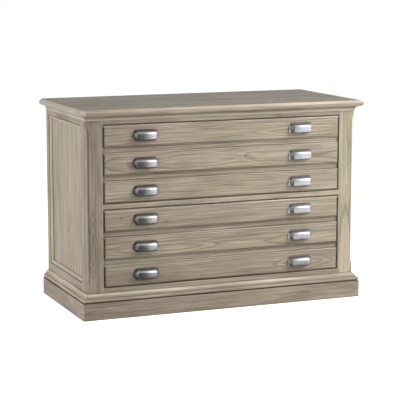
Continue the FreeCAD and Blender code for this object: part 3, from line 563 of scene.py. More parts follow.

# %% [markdown]
# ## Marks on the drawer fronts
# A layer takes the colour so far and gives it back with more marks on it. A layer could be
# written for each mark, but the rubbing also takes glaze away, so the two belong in one. The
# glaze is weighed first, the rubbing reduces it, and then both are laid on. The glaze also
# carries painted shade, and the rubbing also carries a painted highlight.

# %% Layers of the drawer fronts
# Painted shade that grows toward a front's left end, away from the light
FRONT_SHADE_TO_LEFT = (-FRONT_HALF_WIDTH, 0.10, 0.17, 0.0)
LEFT_END_SHADE = (0.0050 - FRONT_HALF_WIDTH, 0.0140 - FRONT_HALF_WIDTH, 0.42, 0.10)
# Painted shade beside the gaps round a front and painted shadow under each band, on top of the
# glaze on the lip
END_LINE = (0.0034, 0.0052, 1.0, 0.0)
LINE_REACHES = (0.0020, 0.0008)  # of the glaze at a front's lower and upper edge
LINE_FADE = 0.0012
SHADOW_UNDER_BAND = ((0.0050, 0.0060), (0.0250, 0.0260), 0.50)
PATCHY_GLAZE = (0.35, 0.65, 0.20, 0.50)
ON_THE_LIP = (0.0004, 0.0007)
# The rubbed edges are also painted highlights, stronger toward the light on the right
RUBBED_AND_LIT_TO_THE_RIGHT = (-0.30, 0.25, 0.40, 0.95)
STREAKY_RUBBING = (0.36, 0.58, 0.40, 0.95)
RUBBING_FADES = (0.0008, 0.0018)
KNOT_LENGTH = 0.6  # below 1 makes a knot longer along the grain
KNOT_CORE = 0.35
KNOT_DARKNESS = 0.85


def glazed_and_shaded_lip(tree, colour, figure):
    """Glaze on the narrow step round each raised band, thickest beside the gap, where it is
    also painted shade, as it is under each band.

    The whole front also has a thin veil of painted shade, heavier toward its left end, away
    from the light.
    """
    x, y, z = own_place(tree)
    shade_to_the_left = largest(tree, spread(tree, x, *FRONT_SHADE_TO_LEFT), spread(tree, x, *LEFT_END_SHADE))
    colour = glaze_and_shade_over(tree, shade_to_the_left, colour)

    from_end = calc(tree, "SUBTRACT", FRONT_HALF_WIDTH, calc(tree, "ABSOLUTE", x))
    # Painted shade beside the gaps and under each band
    shade_beside_gaps = spread(tree, from_end, *END_LINE)
    for edge, reach in zip(FRONT_EDGES, LINE_REACHES * 2):
        shade_beside_gaps = largest(tree, shade_beside_gaps, near(tree, z, edge, reach, reach + LINE_FADE))
    for strip in STRIP_MIDDLES:
        rise = calc(tree, "SUBTRACT", z, strip)
        shade_beside_gaps = largest(tree, shade_beside_gaps, between(tree, rise, *SHADOW_UNDER_BAND))
    patches = spread(tree, figure["Clouds"], *PATCHY_GLAZE)
    lip_glaze_and_shade = product(tree, near(tree, y, LIP_FACE, *ON_THE_LIP),
                     largest(tree, patches, shade_beside_gaps))

    # Rubbing that is also a painted highlight, growing toward the right
    rubbing_and_light = spread(tree, x, *RUBBED_AND_LIT_TO_THE_RIGHT)
    kept = spread(tree, figure["Streaks"], *STREAKY_RUBBING)
    for edge, start, end, share in WORN_AND_LIT_EDGES:
        below = calc(tree, "SUBTRACT", edge, z)
        rubbed_and_highlit = product(tree, between(tree, below, (start, start + RUBBING_FADES[0]),
                                       (end, end + RUBBING_FADES[1]), share), kept)
        lip_glaze_and_shade = product(tree, lip_glaze_and_shade, calc(tree, "SUBTRACT", 1.0, rubbed_and_highlit))
        colour = blend_colour(tree, product(tree, rubbed_and_highlit, rubbing_and_light), colour, BARE_AND_LIT)
    return glaze_and_shade_over(tree, lip_glaze_and_shade, colour)


def knotted_front(tree, colour, figure):
    """The glazed and shaded lip, and pin knots with a dark ring beside the pull of the top
    band.
    """
    x, _, z = own_place(tree)
    for knot_x, knot_z, size in KNOTS:
        across = product(tree, calc(tree, "SUBTRACT", x, knot_x), KNOT_LENGTH)
        up = calc(tree, "SUBTRACT", z, knot_z)
        squared = calc(tree, "ADD", product(tree, across, across), product(tree, up, up))
        spot = spread(tree, calc(tree, "SQRT", squared), size * KNOT_CORE, size,
                      KNOT_DARKNESS, 0.0)
        colour = blend_colour(tree, spot, colour, RING_BROWN)
    return glazed_and_shaded_lip(tree, colour, figure)


print("edges rubbed:", len(WORN_AND_LIT_EDGES), "knots:", len(KNOTS))

# %% [markdown]
# ## Side frames
# The frame round each side panel has a moulded inner edge. It starts with a quirk, the small
# step where glaze collects, and its curve is rubbed pale. The dark line in the quirk is also
# painted shade, and the pale curve is also a painted highlight. Ambient occlusion finds the
# quirk only roughly, because the step is barely more than a millimetre deep. So the line is
# drawn at its known place, and the curve is found by the direction that the surface faces.

# %% Layer of the side frames
MOULDED_EDGE = 0.013  # the width of the moulding round a side panel, from the opening
CURVED = (0.985, 0.93)  # a face that looks along no axis is part of a curve
# Curves rubbed pale, which are also painted highlights
RUBBED_AND_LIT_CURVE = (0.35, 0.60, 0.30, 0.75)
QUIRK_LINE = (0.0012, 0.0026, 0.90)
QUIRK_LINE_ENDS = (0.0015, 0.0030)  # past the quirks of the two rails
CORNER_VEIL = (-0.1800, -0.2150, 0.0, 0.32)
QUIRK_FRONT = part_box("left_side_front_stile")[1][1] - MOULDED_EDGE
QUIRK_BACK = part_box("left_side_back_stile")[0][1] + MOULDED_EDGE
QUIRK_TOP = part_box("left_side_top_rail")[0][2] + MOULDED_EDGE
QUIRK_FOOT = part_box("left_side_bottom_rail")[1][2] - MOULDED_EDGE


def rubbed_and_highlit_moulding(tree, colour, figure):
    """Curved parts of a moulding, rubbed paler than its flats, which is also a painted
    highlight.
    """
    flattest = largest(tree, *(calc(tree, "ABSOLUTE", part) for part in facing(tree)))
    rubbed_and_highlit = product(tree, spread(tree, flattest, *CURVED),
                     spread(tree, figure["Streaks"], *RUBBED_AND_LIT_CURVE))
    return blend_colour(tree, rubbed_and_highlit, colour, WORN_AND_LIT)


def side_frame(axis, quirk):
    """Makes the layer of a side frame's member: rubbed and highlighted, with glaze and painted
    shade in its quirk.

    The front stiles also have a veil of glaze that grows toward the corner.
    """
    def layer(tree, colour, figure):
        colour = rubbed_and_highlit_moulding(tree, colour, figure)
        places = own_place(tree)
        # Glaze and painted shade in the quirk
        line = near(tree, places[axis], quirk, *QUIRK_LINE)
        if axis == 1:
            full, gone = QUIRK_LINE_ENDS
            line = product(tree, line,
                           between(tree, places[2], (QUIRK_FOOT - gone, QUIRK_FOOT - full),
                                   (QUIRK_TOP + full, QUIRK_TOP + gone)))
        colour = glaze_and_shade_over(tree, line, colour)
        return glaze_and_shade_over(tree, spread(tree, places[1], *CORNER_VEIL), colour)
    return layer


print("quirks of the side frames: y", round(QUIRK_FRONT, 4), round(QUIRK_BACK, 4),
      "z", round(QUIRK_FOOT, 4), round(QUIRK_TOP, 4))

# %% [markdown]
# ## Front stiles and rails
# The corner stiles have a stopped chamfer, and the finisher drew a dark line along its edge
# by hand. It could be a thin strip of mesh, but a line of glaze has no thickness, so it is
# drawn in colour. It follows the same curve as the chamfer does, and noise gives it the
# wobble and the pressure of a hand. Over the drawers, glaze and painted shade lie along the
# rails' lower edge, above the gaps.

# %% Layers of the front frame
CASE_HALF_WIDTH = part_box("front_stile_right")[1][0]
CHAMFER_ENDS = (0.1315, 0.7005)
CHAMFER_RUNOUT = 0.016
CHAMFER_LEG = 0.010
CHAMFER_SLANT = ((0.30, 0.50), (0.85, 0.95), 0.35)  # a chamfer faces half sideways
HAND_SCALE = 55.0
HAND_WOBBLE = (0.2, 0.8, -0.0011, 0.0008)
HAND_LINE = (0.0005, 0.0019, 0.85)
HAND_PRESSURE = (0.3, 0.6, 0.55, 1.0)
JOINT_FADE = 0.0008


def glazed_chamfer(tree, colour, figure):
    """A veiled chamfer with a dark hand-drawn line along its front edge."""
    x, _, z = own_place(tree)
    slant = calc(tree, "ABSOLUTE", facing(tree)[0])
    colour = glaze_and_shade_over(tree, between(tree, slant, *CHAMFER_SLANT), colour)
    foot, top = CHAMFER_ENDS
    width = product(tree, spread(tree, z, foot, foot + CHAMFER_RUNOUT, smooth=True),
                    spread(tree, z, top - CHAMFER_RUNOUT, top, 1.0, 0.0, smooth=True),
                    CHAMFER_LEG)
    hand = add(tree, "ShaderNodeTexNoise", {"W": z, "Scale": HAND_SCALE, "Detail": 2.0},
               noise_dimensions="1D").outputs["Fac"]
    edge = calc(tree, "ADD", calc(tree, "SUBTRACT", CASE_HALF_WIDTH, width),
                spread(tree, hand, *HAND_WOBBLE))
    line = near(tree, calc(tree, "ABSOLUTE", x), edge, *HAND_LINE)
    return glaze_and_shade_over(tree, product(tree, line, spread(tree, hand, *HAND_PRESSURE)), colour)


def dark_line(height, reach, amount=0.95):
    """Makes a layer with a dark line at one height beside a joint, which is glaze and also
    painted shade.
    """
    def layer(tree, colour, figure):
        # Glaze and painted shade beside the joint
        line = near(tree, own_place(tree)[2], height, reach, reach + JOINT_FADE, amount)
        return glaze_and_shade_over(tree, line, colour)
    return layer


print("chamfer from", *CHAMFER_ENDS)

# %% [markdown]
# ## Mouldings and plinth
# Hands and cloths reach the ridges of a moulding and not its hollows, so the ridges are worn
# pale and the hollows stay dark. The pale ridges are also painted highlights and the dark
# hollows painted shade, and on the cap they stand in for parts of a profile that its mesh does
# not have. A map of curvature could find both, but on a moulding of 30 mm it would blur them
# together. Their heights are known, so each mark is put at its own.

# %% Layers of the mouldings
CAP_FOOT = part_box("base_cap_front")[0][2]
# The line on the plinth under the cap is glaze and also painted shade
CAP_LINE = (CAP_FOOT, 0.0010, 0.85)  # the glaze that stays on the plinth under the cap
# Painted shade that grows toward the plinth's left end, away from the light
PLINTH_SHADE_TO_LEFT = (-0.50, 0.25, 0.17, 0.0)
# Marks on the cap, whose ridges are also painted highlights and whose groove and quirk are
# also painted shade: the height above its foot, and then the three numbers of `near`
CAP_RIDGE = (0.0260, 0.0020, 0.0052, 1.0)
CAP_NOSE = (0.0100, 0.0010, 0.0040, 0.55)
CAP_GROOVE = (0.0155, 0.0008, 0.0038, 0.42)
CAP_QUIRK = (0.0032, 0.0042, 0.97, 0.0)
CAP_PATCHES = (0.40, 0.60, 0.25, 1.0)
CAP_STREAKS = (0.35, 0.60, 0.35, 0.85)
COVE_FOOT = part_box("cove_moulding_front")[0][2]
COVE_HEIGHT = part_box("cove_moulding_front")[1][2] - COVE_FOOT
# The cove's lower part is rubbed pale and painted lighter, and the shade under the nosing is
# painted
COVE_WORN_AND_LIT = (0.0, COVE_HEIGHT * 0.70, 1.0, 0.0)
COVE_SHADED = (COVE_HEIGHT * 0.80, COVE_HEIGHT * 0.95, 0.0, 0.55)
COVE_LINE = (0.0012, 0.0022, 0.55, 0.0)
COVE_STREAKS = (0.35, 0.60, 0.50, 0.90)


def shaded_plinth(tree, colour, figure):
    """The front board's painted shade, heavier to the left, and the line under the cap."""
    shade_to_the_left = spread(tree, own_place(tree)[0], *PLINTH_SHADE_TO_LEFT)
    return dark_line(*CAP_LINE)(tree, glaze_and_shade_over(tree, shade_to_the_left, colour), figure)


def lit_and_shaded_cove(tree, colour, figure):
    """The cove has painted shadow under the nosing, is rubbed pale and painted lighter lower
    down, and is dark at its foot.
    """
    rise = calc(tree, "SUBTRACT", own_place(tree)[2], COVE_FOOT)
    worn_and_highlit = product(tree, spread(tree, rise, *COVE_WORN_AND_LIT),
                   spread(tree, figure["Streaks"], *COVE_STREAKS))
    dark = largest(tree, spread(tree, rise, *COVE_SHADED), spread(tree, rise, *COVE_LINE))
    return glaze_and_shade_over(tree, dark, blend_colour(tree, worn_and_highlit, colour, WORN_AND_LIT))


def worn_and_highlit_cap(tree, colour, figure):
    """The base cap, rubbed pale along its two ridges, with glaze left between them. The pale
    ridges are also painted highlights, and the groove and quirk are also painted shade.
    """
    rise = calc(tree, "SUBTRACT", own_place(tree)[2], CAP_FOOT)
    ridges = largest(tree, near(tree, rise, *CAP_RIDGE), near(tree, rise, *CAP_NOSE))
    worn_and_highlit = product(tree, ridges, spread(tree, figure["Clouds"], *CAP_PATCHES),
                   spread(tree, figure["Streaks"], *CAP_STREAKS))
    dark = largest(tree, near(tree, rise, *CAP_GROOVE), spread(tree, rise, *CAP_QUIRK))
    return glaze_and_shade_over(tree, dark, blend_colour(tree, worn_and_highlit, colour, WORN_AND_LIT))


print("cap foot:", round(CAP_FOOT, 4), "cove height:", round(COVE_HEIGHT, 4))

# %% [markdown]
# ## The top
# The level face of the top has gone darker and greyer than the rest, and its rounded edge is
# rubbed pale. Part of the darkness is painted shade, because the light falls mostly on the
# front, and the pale edge is also a painted highlight that grows toward the right. Two
# materials on two groups of faces would show a hard border between them. The direction that
# the surface faces gives a soft one, right along the curve.

# %% Layer of the top
# Grey for the level top, which is also painted shade
TOP_GREY_AND_SHADE = (0.096, 0.087, 0.072, 1.0)
SILVERED = (0.560, 0.510, 0.455, 1.0)
LEVEL = (0.90, 0.995)  # how far up a face has to look to count as level
GREYING = (0.35, 0.62, 0.78, 0.52)
# The rounded edge's paleness is also a painted highlight, stronger toward the light on the
# right
UPPER_CURVE = (0.05, 0.60, 0.0, 0.80)
WORN_AND_LIT_TO_THE_RIGHT = (-0.50, 0.10, 0.15, 1.0)
TOP_STREAKS = (0.38, 0.58, 0.45, 1.0)
LEFT_NOSING = (-CASE_HALF_WIDTH - 0.012, -CASE_HALF_WIDTH - 0.004, 0.50, 0.0)


def greyed_and_shaded_top(tree, colour, figure):
    """The level top has gone grey-brown and darker with painted shade, while its rounded edge
    is rubbed pale and painted as a highlight.
    """
    x = own_place(tree)[0]
    upward = facing(tree)[2]
    greying_and_shading = spread(tree, figure["Streaks"], *GREYING)
    grey = blend_colour(tree, greying_and_shading, colour, TOP_GREY_AND_SHADE)
    rubbed_and_highlit = product(tree, spread(tree, upward, *UPPER_CURVE),
                     spread(tree, x, *WORN_AND_LIT_TO_THE_RIGHT),
                     spread(tree, figure["Streaks"], *TOP_STREAKS))
    pale = blend_colour(tree, rubbed_and_highlit, colour, WORN_AND_LIT)
    pale = blend_colour(tree, spread(tree, x, *LEFT_NOSING), pale, SILVERED)
    return blend_colour(tree, spread(tree, upward, *LEVEL), pale, grey)


print("top grey:", TOP_GREY_AND_SHADE[:3])

# %% [markdown]
# ## Which marks lie on which board
# Most boards have marks of their kind, and a few show an oval figure in a known place. Each
# board could be given its marks where it is dressed, but then mirrored boards would need the
# same words twice. Two tables keep them together, and loops fill in what repeats.

# %% What lies on which board
# The line along a rail's lower edge is glaze and also painted shade above the gap
RAIL_LINE = 0.0018  # how far the glaze reaches up a rail from its lower edge
SIDE_QUIRKS = {"side_front_stile": (1, QUIRK_FRONT), "side_back_stile": (1, QUIRK_BACK),
               "side_top_rail": (2, QUIRK_TOP), "side_bottom_rail": (2, QUIRK_FOOT)}
LAYERS = {"upper_drawer_front": glazed_and_shaded_lip, "lower_drawer_front": knotted_front,
          "front_stile_left": glazed_chamfer, "front_stile_right": glazed_chamfer,
          "top_panel": greyed_and_shaded_top, "plinth_front": shaded_plinth,
          "plinth_left": dark_line(*CAP_LINE), "plinth_right": dark_line(*CAP_LINE),
          "top_rail": dark_line(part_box("top_rail")[0][2], RAIL_LINE),
          "middle_rail": dark_line(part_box("middle_rail")[0][2], RAIL_LINE)}
for side in ("front", "left", "right"):
    LAYERS[f"base_cap_{side}"] = worn_and_highlit_cap
    LAYERS[f"cove_moulding_{side}"] = lit_and_shaded_cove
for side in ("left", "right"):
    for part, place in SIDE_QUIRKS.items():
        LAYERS[f"{side}_{part}"] = side_frame(*place)
# Figures with a known place: axes, middle, half width, reaches, rings, power, amount, paleness
OVALS = {
    "front_stile_left": [("xz", (-0.5110, 0.235), 0.0260, (0.168, 0.090), 3, 3.4, 0.90, 0.0)],
    "front_stile_right": [("xz", (0.5050, 0.140), 0.0330, (0.2355, 0.14), 1, 6.0, 0.80, 0.32)],
    "left_side_top_rail": [("zy", (0.655, 0.090), 0.057, (0.17, 0.42), 5, 2.2, 0.80, 0.0)],
    "lower_drawer_front": [
        ("zx", (0.242, 0.396), 0.027, (0.25, 0.25), 1, 5.0, 0.80, 0.25),
        ("zx", (0.244, -0.220), 0.026, (0.22, 0.22), 2, 3.5, 0.75, 0.20),
        ("zx", (0.150, 0.330), 0.030, (0.13, 0.14), 2, 3.5, 0.65, 0.10),
    ],
    "upper_drawer_front": [
        ("zx", (0.655, 0.330), 0.022, (0.24, 0.24), 2, 3.5, 0.60, 0.15),
        ("zx", (0.560, -0.150), 0.026, (0.30, 0.20), 2, 3.5, 0.55, 0.10),
    ],
}
print("boards with a layer of their own:", len(LAYERS), "with ovals:", len(OVALS))

# %% [markdown]
# ## Dressing the show boards
# Each board of the case needs its own grain, seed and tone. They could be written as one call
# for each board, but a table shows at a glance which board is paler or plainer than its
# neighbours. The tones were set by comparing each board with the real one. The darker tones of
# the plinth front, the base cap front and the bottom rail are partly painted shade, for light
# that falls off toward the foot of the front.

# %% The show boards
TOP_GLOSS = 0.12
SIDE_CORNER_REACH = 0.0085
YELLOW_BOARDS = ("front_stile_right",)
# How each board is cut: its grain, its seed, how pale it is and how strong its rings are
# The plinth front, base cap front and bottom rail are toned darker partly as painted shade
BOARDS = {
    "top_panel": ("x flat", 11, 1.00, 0.45),
    "cove_moulding_front": ("x", 21, 0.92, 0.40),
    "cove_moulding_left": ("y", 22, 1.00, 0.40),
    "cove_moulding_right": ("y", 23, 1.00, 0.40),
    "front_stile_left": ("z", 31, 0.77, 0.30),
    "front_stile_right": ("z", 32, 0.96, 0.30),
    "bottom_rail": ("x", 33, 0.88, 0.45),
    "middle_rail": ("x", 34, 1.02, 0.35),
    "top_rail": ("x", 35, 0.95, 0.45),
    "left_side_front_stile": ("z side", 41, 1.08, 0.45),
    "right_side_front_stile": ("z side", 42, 1.05, 0.45),
    "left_side_back_stile": ("z side", 43, 1.02, 0.45),
    "right_side_back_stile": ("z side", 44, 1.02, 0.45),
    "left_side_top_rail": ("y", 45, 1.08, 0.30),
    "right_side_top_rail": ("y", 46, 1.05, 0.75),
    "left_side_bottom_rail": ("y", 47, 1.00, 0.55),
    "right_side_bottom_rail": ("y", 48, 1.00, 0.55),
    "left_side_panel": ("z side", 51, 1.13, 0.90),
    "right_side_panel": ("z side", 52, 1.13, 0.90),
    "plinth_front": ("x", 61, 0.85, 0.55),
    "plinth_left": ("y", 62, 0.95, 0.55),
    "plinth_right": ("y", 63, 0.95, 0.55),
    "base_cap_front": ("x", 64, 0.84, 0.40),
    "base_cap_left": ("y", 65, 1.30, 0.40),
    "base_cap_right": ("y", 66, 1.05, 0.40),
    "upper_drawer_front": ("x", 71, 1.07, 0.95),
    "lower_drawer_front": ("x", 72, 1.00, 0.85),
}


def dress(name, material):
    """Gives a node one material in all its slots."""
    mesh = nodes[name].data
    mesh.materials.clear()
    mesh.materials.append(material)


def middle(name):
    """The middle of a node's box."""
    low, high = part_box(name)
    return tuple((a + b) / 2 for a, b in zip(low, high))


for name, (grain, seed, tone, rings) in BOARDS.items():
    pale, deep = (YELLOW_PALE, YELLOW_DEEP) if name in YELLOW_BOARDS else (PALE, DEEP)
    dress(name, wood_material(f"{name} wood", grain, seed, tone, middle(name), rings,
                              pale, deep, layer=LAYERS.get(name), ovals=OVALS.get(name, ()),
                              gloss=TOP_GLOSS if name == "top_panel" else GLOSS,
                              corner_reach=SIDE_CORNER_REACH if "side" in name
                              else CORNER_REACH))
print("show boards dressed:", len(BOARDS))

# %% [markdown]
# ## Inner boards
# Drawer boxes, cleats and blocks are of plain pale wood under thin lacquer. Nobody wiped a
# glaze over them, so their corners only get a little painted shade. A new material could be
# written for them. The same function does as well, with other colours and its corner
# darkening turned down.

# %% Inner boards
BOX_PALE = (0.640, 0.500, 0.330, 1.0)
BOX_DEEP = (0.520, 0.380, 0.230, 1.0)
ROUGH_PALE = (0.500, 0.385, 0.255, 1.0)
ROUGH_DEEP = (0.400, 0.290, 0.180, 1.0)
BACK_PALE = (0.285, 0.215, 0.150, 1.0)
BACK_DEEP = (0.220, 0.160, 0.108, 1.0)
PLAIN_RINGS = 0.35
# How much painted shade the inner boards get in their corners
CORNER_SHADE = 0.3

INNER_BOARDS = {
    "back_panel": ("z", 81, BACK_PALE, BACK_DEEP),
    "case_bottom": ("x flat", 82, ROUGH_PALE, ROUGH_DEEP),
    "corner_blocks": ("z", 83, ROUGH_PALE, ROUGH_DEEP),
    "slide_cleats": ("y", 84, ROUGH_PALE, ROUGH_DEEP),
}
BOX_GRAINS = {"sub_front": "x", "back": "x", "left_side": "y", "right_side": "y",
              "bottom": "x flat"}
for first_seed, level in ((90, "upper"), (100, "lower")):
    for seed, (part, grain) in enumerate(BOX_GRAINS.items(), first_seed):
        INNER_BOARDS[f"{level}_drawer_{part}"] = (grain, seed, BOX_PALE, BOX_DEEP)

for name, (grain, seed, pale, deep) in INNER_BOARDS.items():
    dress(name, wood_material(f"{name} wood", grain, seed, 1.0, middle(name), PLAIN_RINGS,
                              pale, deep, corner_darkening=CORNER_SHADE, tinting=0.0))
print("inner boards dressed:", len(INNER_BOARDS))

# %% [markdown]
# ## Metal
# The pulls are brushed nickel with a little dark patina where hands don't reach, and the
# slides are zinc-plated steel. Real strokes could be carved into the mesh, but they are finer
# than any pixel. Noise that is stretched along the stroke changes the roughness and the bump
# instead, so that the highlights spread sideways.

# %% Brushed metal group
STROKE_SCALE = (60.0, 2600.0, 2600.0)
PATINA_SCALE = (55.0, 90.0, 90.0)
BRUSH_DETAIL = 4.0
BRUSH_ROUGHNESS = 0.6


def build_brushing():
    """Fine strokes along the vector's X, and slow blotches of patina."""
    group, start, end = new_group("brushed metal",
                                  [("Vector", VECTOR, None), ("Stroke", FLOAT, 1.0)],
                                  [("Strokes", FLOAT), ("Patina", FLOAT)])
    given = start.outputs
    for label, scales, scale in (("Strokes", STROKE_SCALE, given["Stroke"]),
                                 ("Patina", PATINA_SCALE, 1.0)):
        place = vector_calc(group, "MULTIPLY", given["Vector"], scales)
        group.links.new(noise(group, place, scale, BRUSH_DETAIL, BRUSH_ROUGHNESS),
                        end.inputs[label])
    return group


brushed_metal = build_brushing()
print("group:", brushed_metal.name, "nodes:", len(brushed_metal.nodes))

# %% [markdown]
# ## Cup pulls
# A buffing wheel reaches the face of the cup, and the rest stays dark. Its border could be
# modelled, but it is only a change of polish, so it is a mask. The two ends of the flange get
# a paler colour, which is a painted highlight. The face of a real cup is also crowned, which
# makes its reflection roll off toward the edges. A dome in the bump gives that here, and the
# pull keeps the outline of its solid. It is not a faint dome: at the cup's ends it turns the
# shading by 18 degrees, as a real one 7 mm high would. A crown in the mesh is the better way,
# because it holds from every side.

# %% Buffing
PULL_HALF_SPACING = 0.310
PULL_HEIGHT = 0.041
FLANGE_FACE = -0.2372
BUFFED_CUP = (FLANGE_FACE, FLANGE_FACE - 0.0100)
# The ends of the flange, which get a painted highlight
END_RIM_GLINT = ((0.0405, 0.0420), (0.0464, 0.0480))  # from the pull's middle
RIM_HEIGHT = ((0.06, 0.20), (0.66, 0.82))  # as shares of the pull's height
CROWN = 4.0  # the dome's fall in metres is this times the squared distance
CROWN_MIDDLE = 0.45  # as a share of the pull's height


def buffing(tree):
    """Where the buffing wheel reached a cup pull, where its flange gets a painted highlight,
    and the crown of its face.

    The cup is bright from a little in front of its flange. The flange has a painted highlight
    at its two ends only, within a dark outline.
    """
    x, y, _ = own_place(tree)
    side = product(tree, calc(tree, "SIGN", x), PULL_HALF_SPACING)
    from_middle = calc(tree, "SUBTRACT", x, side)
    outward = calc(tree, "ABSOLUTE", from_middle)
    height = parts(tree, coordinates(tree, "Generated"))[2]
    cup = spread(tree, y, *BUFFED_CUP, smooth=True)
    painted_glint = product(tree, between(tree, outward, *END_RIM_GLINT),
                      between(tree, height, *RIM_HEIGHT))
    rise = product(tree, calc(tree, "SUBTRACT", height, CROWN_MIDDLE), PULL_HEIGHT)
    dome = calc(tree, "ADD", product(tree, from_middle, from_middle),
                product(tree, rise, rise))
    return cup, painted_glint, product(tree, dome, -CROWN, cup)


print("pulls", PULL_HALF_SPACING, "m either side of the middle")

# %% [markdown]
# ## Brushed metal
# Plated metal is brightest where it is open and rubbed, and darkest in its corners, where
# polish never reaches. One colour with less roughness would look new. Here ambient occlusion
# and slow blotches mix a dark colour into a bright one. On the pulls the dark corners are
# patina, and on the zinc they are painted shade.

# %% Metal material
NICKEL = (0.470, 0.472, 0.480, 1.0)
# A paler colour for the painted highlight on the ends of the flange
NICKEL_GLINT = (0.760, 0.760, 0.770, 1.0)
NICKEL_DARK = (0.160, 0.158, 0.160, 1.0)
# How ambient occlusion darkens corners: patina on the pulls, painted shade on the zinc
PATINA_AND_SHADE_IN_CORNERS = (0.25, 0.95)
PATINA = (0.35, 0.65, 0.80, 1.0)
STROKES = (0.3, 0.7)
DULLER, BRIGHTER = 0.09, 0.07  # how far the strokes change the roughness
STROKE_STRENGTH = 0.10
STROKE_DEPTH = 0.0002


def metal_material(name, bright, dark, roughness, corner_reach, buffed=False):
    """A brushed metal whose corners and blotches are darker."""
    material, tree, shader = start_material(name)
    brushing = use_group(tree, brushed_metal, {"Vector": coordinates(tree)}).outputs
    corners = add(tree, "ShaderNodeAmbientOcclusion", {"Distance": corner_reach}, samples=12)
    shade = product(tree, spread(tree, corners.outputs["AO"], *PATINA_AND_SHADE_IN_CORNERS),
                    spread(tree, brushing["Patina"], *PATINA))
    crowned = None
    if buffed:
        cup, painted_glint, crown = buffing(tree)
        shade = product(tree, shade, cup)
        crowned = bump(tree, crown, 1.0, 1.0)
    colour = blend_colour(tree, shade, dark, bright)
    if buffed:
        # A painted highlight on the ends of the flange
        colour = blend_colour(tree, painted_glint, colour, NICKEL_GLINT)
    fill(tree, shader,
         {"Metallic": 1.0, "Base Color": colour,
          "Roughness": spread(tree, brushing["Strokes"], *STROKES, roughness - BRIGHTER,
                              roughness + DULLER),
          "Normal": bump(tree, brushing["Strokes"], STROKE_STRENGTH, STROKE_DEPTH,
                         crowned)})
    return material


nickel = metal_material("brushed nickel", NICKEL, NICKEL_DARK, 0.40, 0.010, buffed=True)
for level in ("upper", "lower"):
    for row in ("top", "middle", "bottom"):
        dress(f"{level}_drawer_{row}_pulls", nickel)
print("pulls dressed in", nickel.name)

# %% [markdown]
# ## Slides and file rails
# The slides and the rails for hanging files are bright zinc, seen only when a drawer is open.
# They could do with one flat grey. The same brushed metal without the buffing costs no more,
# and its dark corners, which are painted shade, show the rolled shape of the members.

# %% Zinc
ZINC = (0.620, 0.630, 0.640, 1.0)
# The dark colour in the zinc's corners is painted shade
ZINC_SHADE_AND_BLOTCHES = (0.330, 0.335, 0.340, 1.0)

zinc = metal_material("zinc plate", ZINC, ZINC_SHADE_AND_BLOTCHES, 0.34, 0.006)
for level in ("upper", "lower"):
    for kind in ("outer_members", "middle_members", "inner_members", "outer_ball_cages",
                 "inner_ball_cages"):
        dress(f"{level}_slide_{kind}", zinc)
    dress(f"{level}_file_rails", zinc)
print("slides and rails dressed in", zinc.name)

# %% [markdown]
# ## Feet
# The levelling feet are moulded from black plastic with a fine leathery grain. They barely
# show under the plinth, so a plain black would nearly do. A little noise in the colour, the
# roughness and the bump keeps them from looking like holes.

# %% Moulded feet
FOOT_BLACK = (0.035, 0.034, 0.033, 1.0)
LEATHER = (0.3, 0.7)
LEATHER_SCALE = 900.0
LEATHER_STRENGTH = 0.15
LEATHER_DEPTH = 0.0002


def moulded_plastic(name, colour, roughness):
    """Dark moulded plastic with a fine leathery grain."""
    material, tree, shader = start_material(name)
    grain = noise(tree, coordinates(tree), LEATHER_SCALE, 3.0)
    tone = spread(tree, grain, *LEATHER, 0.85, 1.15)
    fill(tree, shader,
         {"Base Color": blend_colour(tree, 1.0, colour, tone, "MULTIPLY"),
          "Roughness": spread(tree, grain, *LEATHER, roughness - 0.08, roughness + 0.08),
          "Normal": bump(tree, grain, LEATHER_STRENGTH, LEATHER_DEPTH)})
    return material


dress("levelling_feet", moulded_plastic("black plastic", FOOT_BLACK, 0.5))
print("feet dressed")

# %% [markdown]
# ## The sky
# The object stands under a white sky. A sky that is bright enough to look white would also
# light the object too strongly and wash out its colours. So the two are kept apart. Rays that
# the eye, a reflection or glass sends out find plain white. The light that falls on the
# object comes from a softer sky, dimmer overhead than at the horizon, as in a studio lit from
# the sides.

# %% Sky
WHITE = (1.0, 1.0, 1.0, 1.0)
SKY_AT_HORIZON = 0.49
SKY_OVERHEAD = 0.41
SKY_HEIGHTS = (0.10, 0.95)  # of the direction, where the one ends and the other begins


def direct_rays(tree, *kinds):
    """1 for rays of the given kinds, and 0 for those that carry light to a surface."""
    path = add(tree, "ShaderNodeLightPath").outputs
    total = 0.0
    for kind in kinds:
        total = calc(tree, "ADD", path[f"Is {kind} Ray"], total, clamp=True)
    return total


def build_sky():
    """White to the eye and to reflections, softer and dimmer overhead as a light."""
    world = bpy.data.worlds.new("studio sky")
    bpy.context.scene.world = world
    world.use_nodes = True
    tree = world.node_tree
    tree.nodes.clear()
    upward = parts(tree, coordinates(tree, "Generated"))[2]
    strength = spread(tree, upward, *SKY_HEIGHTS, SKY_AT_HORIZON, SKY_OVERHEAD)
    lighting = add(tree, "ShaderNodeBackground", {"Color": WHITE, "Strength": strength})
    seen = add(tree, "ShaderNodeBackground", {"Color": WHITE, "Strength": 1.0})
    mix = add(tree, "ShaderNodeMixShader",
              {0: direct_rays(tree, "Camera", "Glossy", "Transmission"),
               1: lighting.outputs[0], 2: seen.outputs[0]})
    add(tree, "ShaderNodeOutputWorld", {"Surface": mix.outputs[0]})


build_sky()
print("sky from", SKY_OVERHEAD, "overhead to", SKY_AT_HORIZON, "at the horizon")

# %% [markdown]
# ## Lamps
# The photo is lit from the right, so that the drawer fronts grow lighter toward that side,
# with a weaker light for the end panel. Point lamps would give hard shadows. Two large square
# area lamps give the soft ones of a studio: one at the right front and one at the left.

# %% Lamps


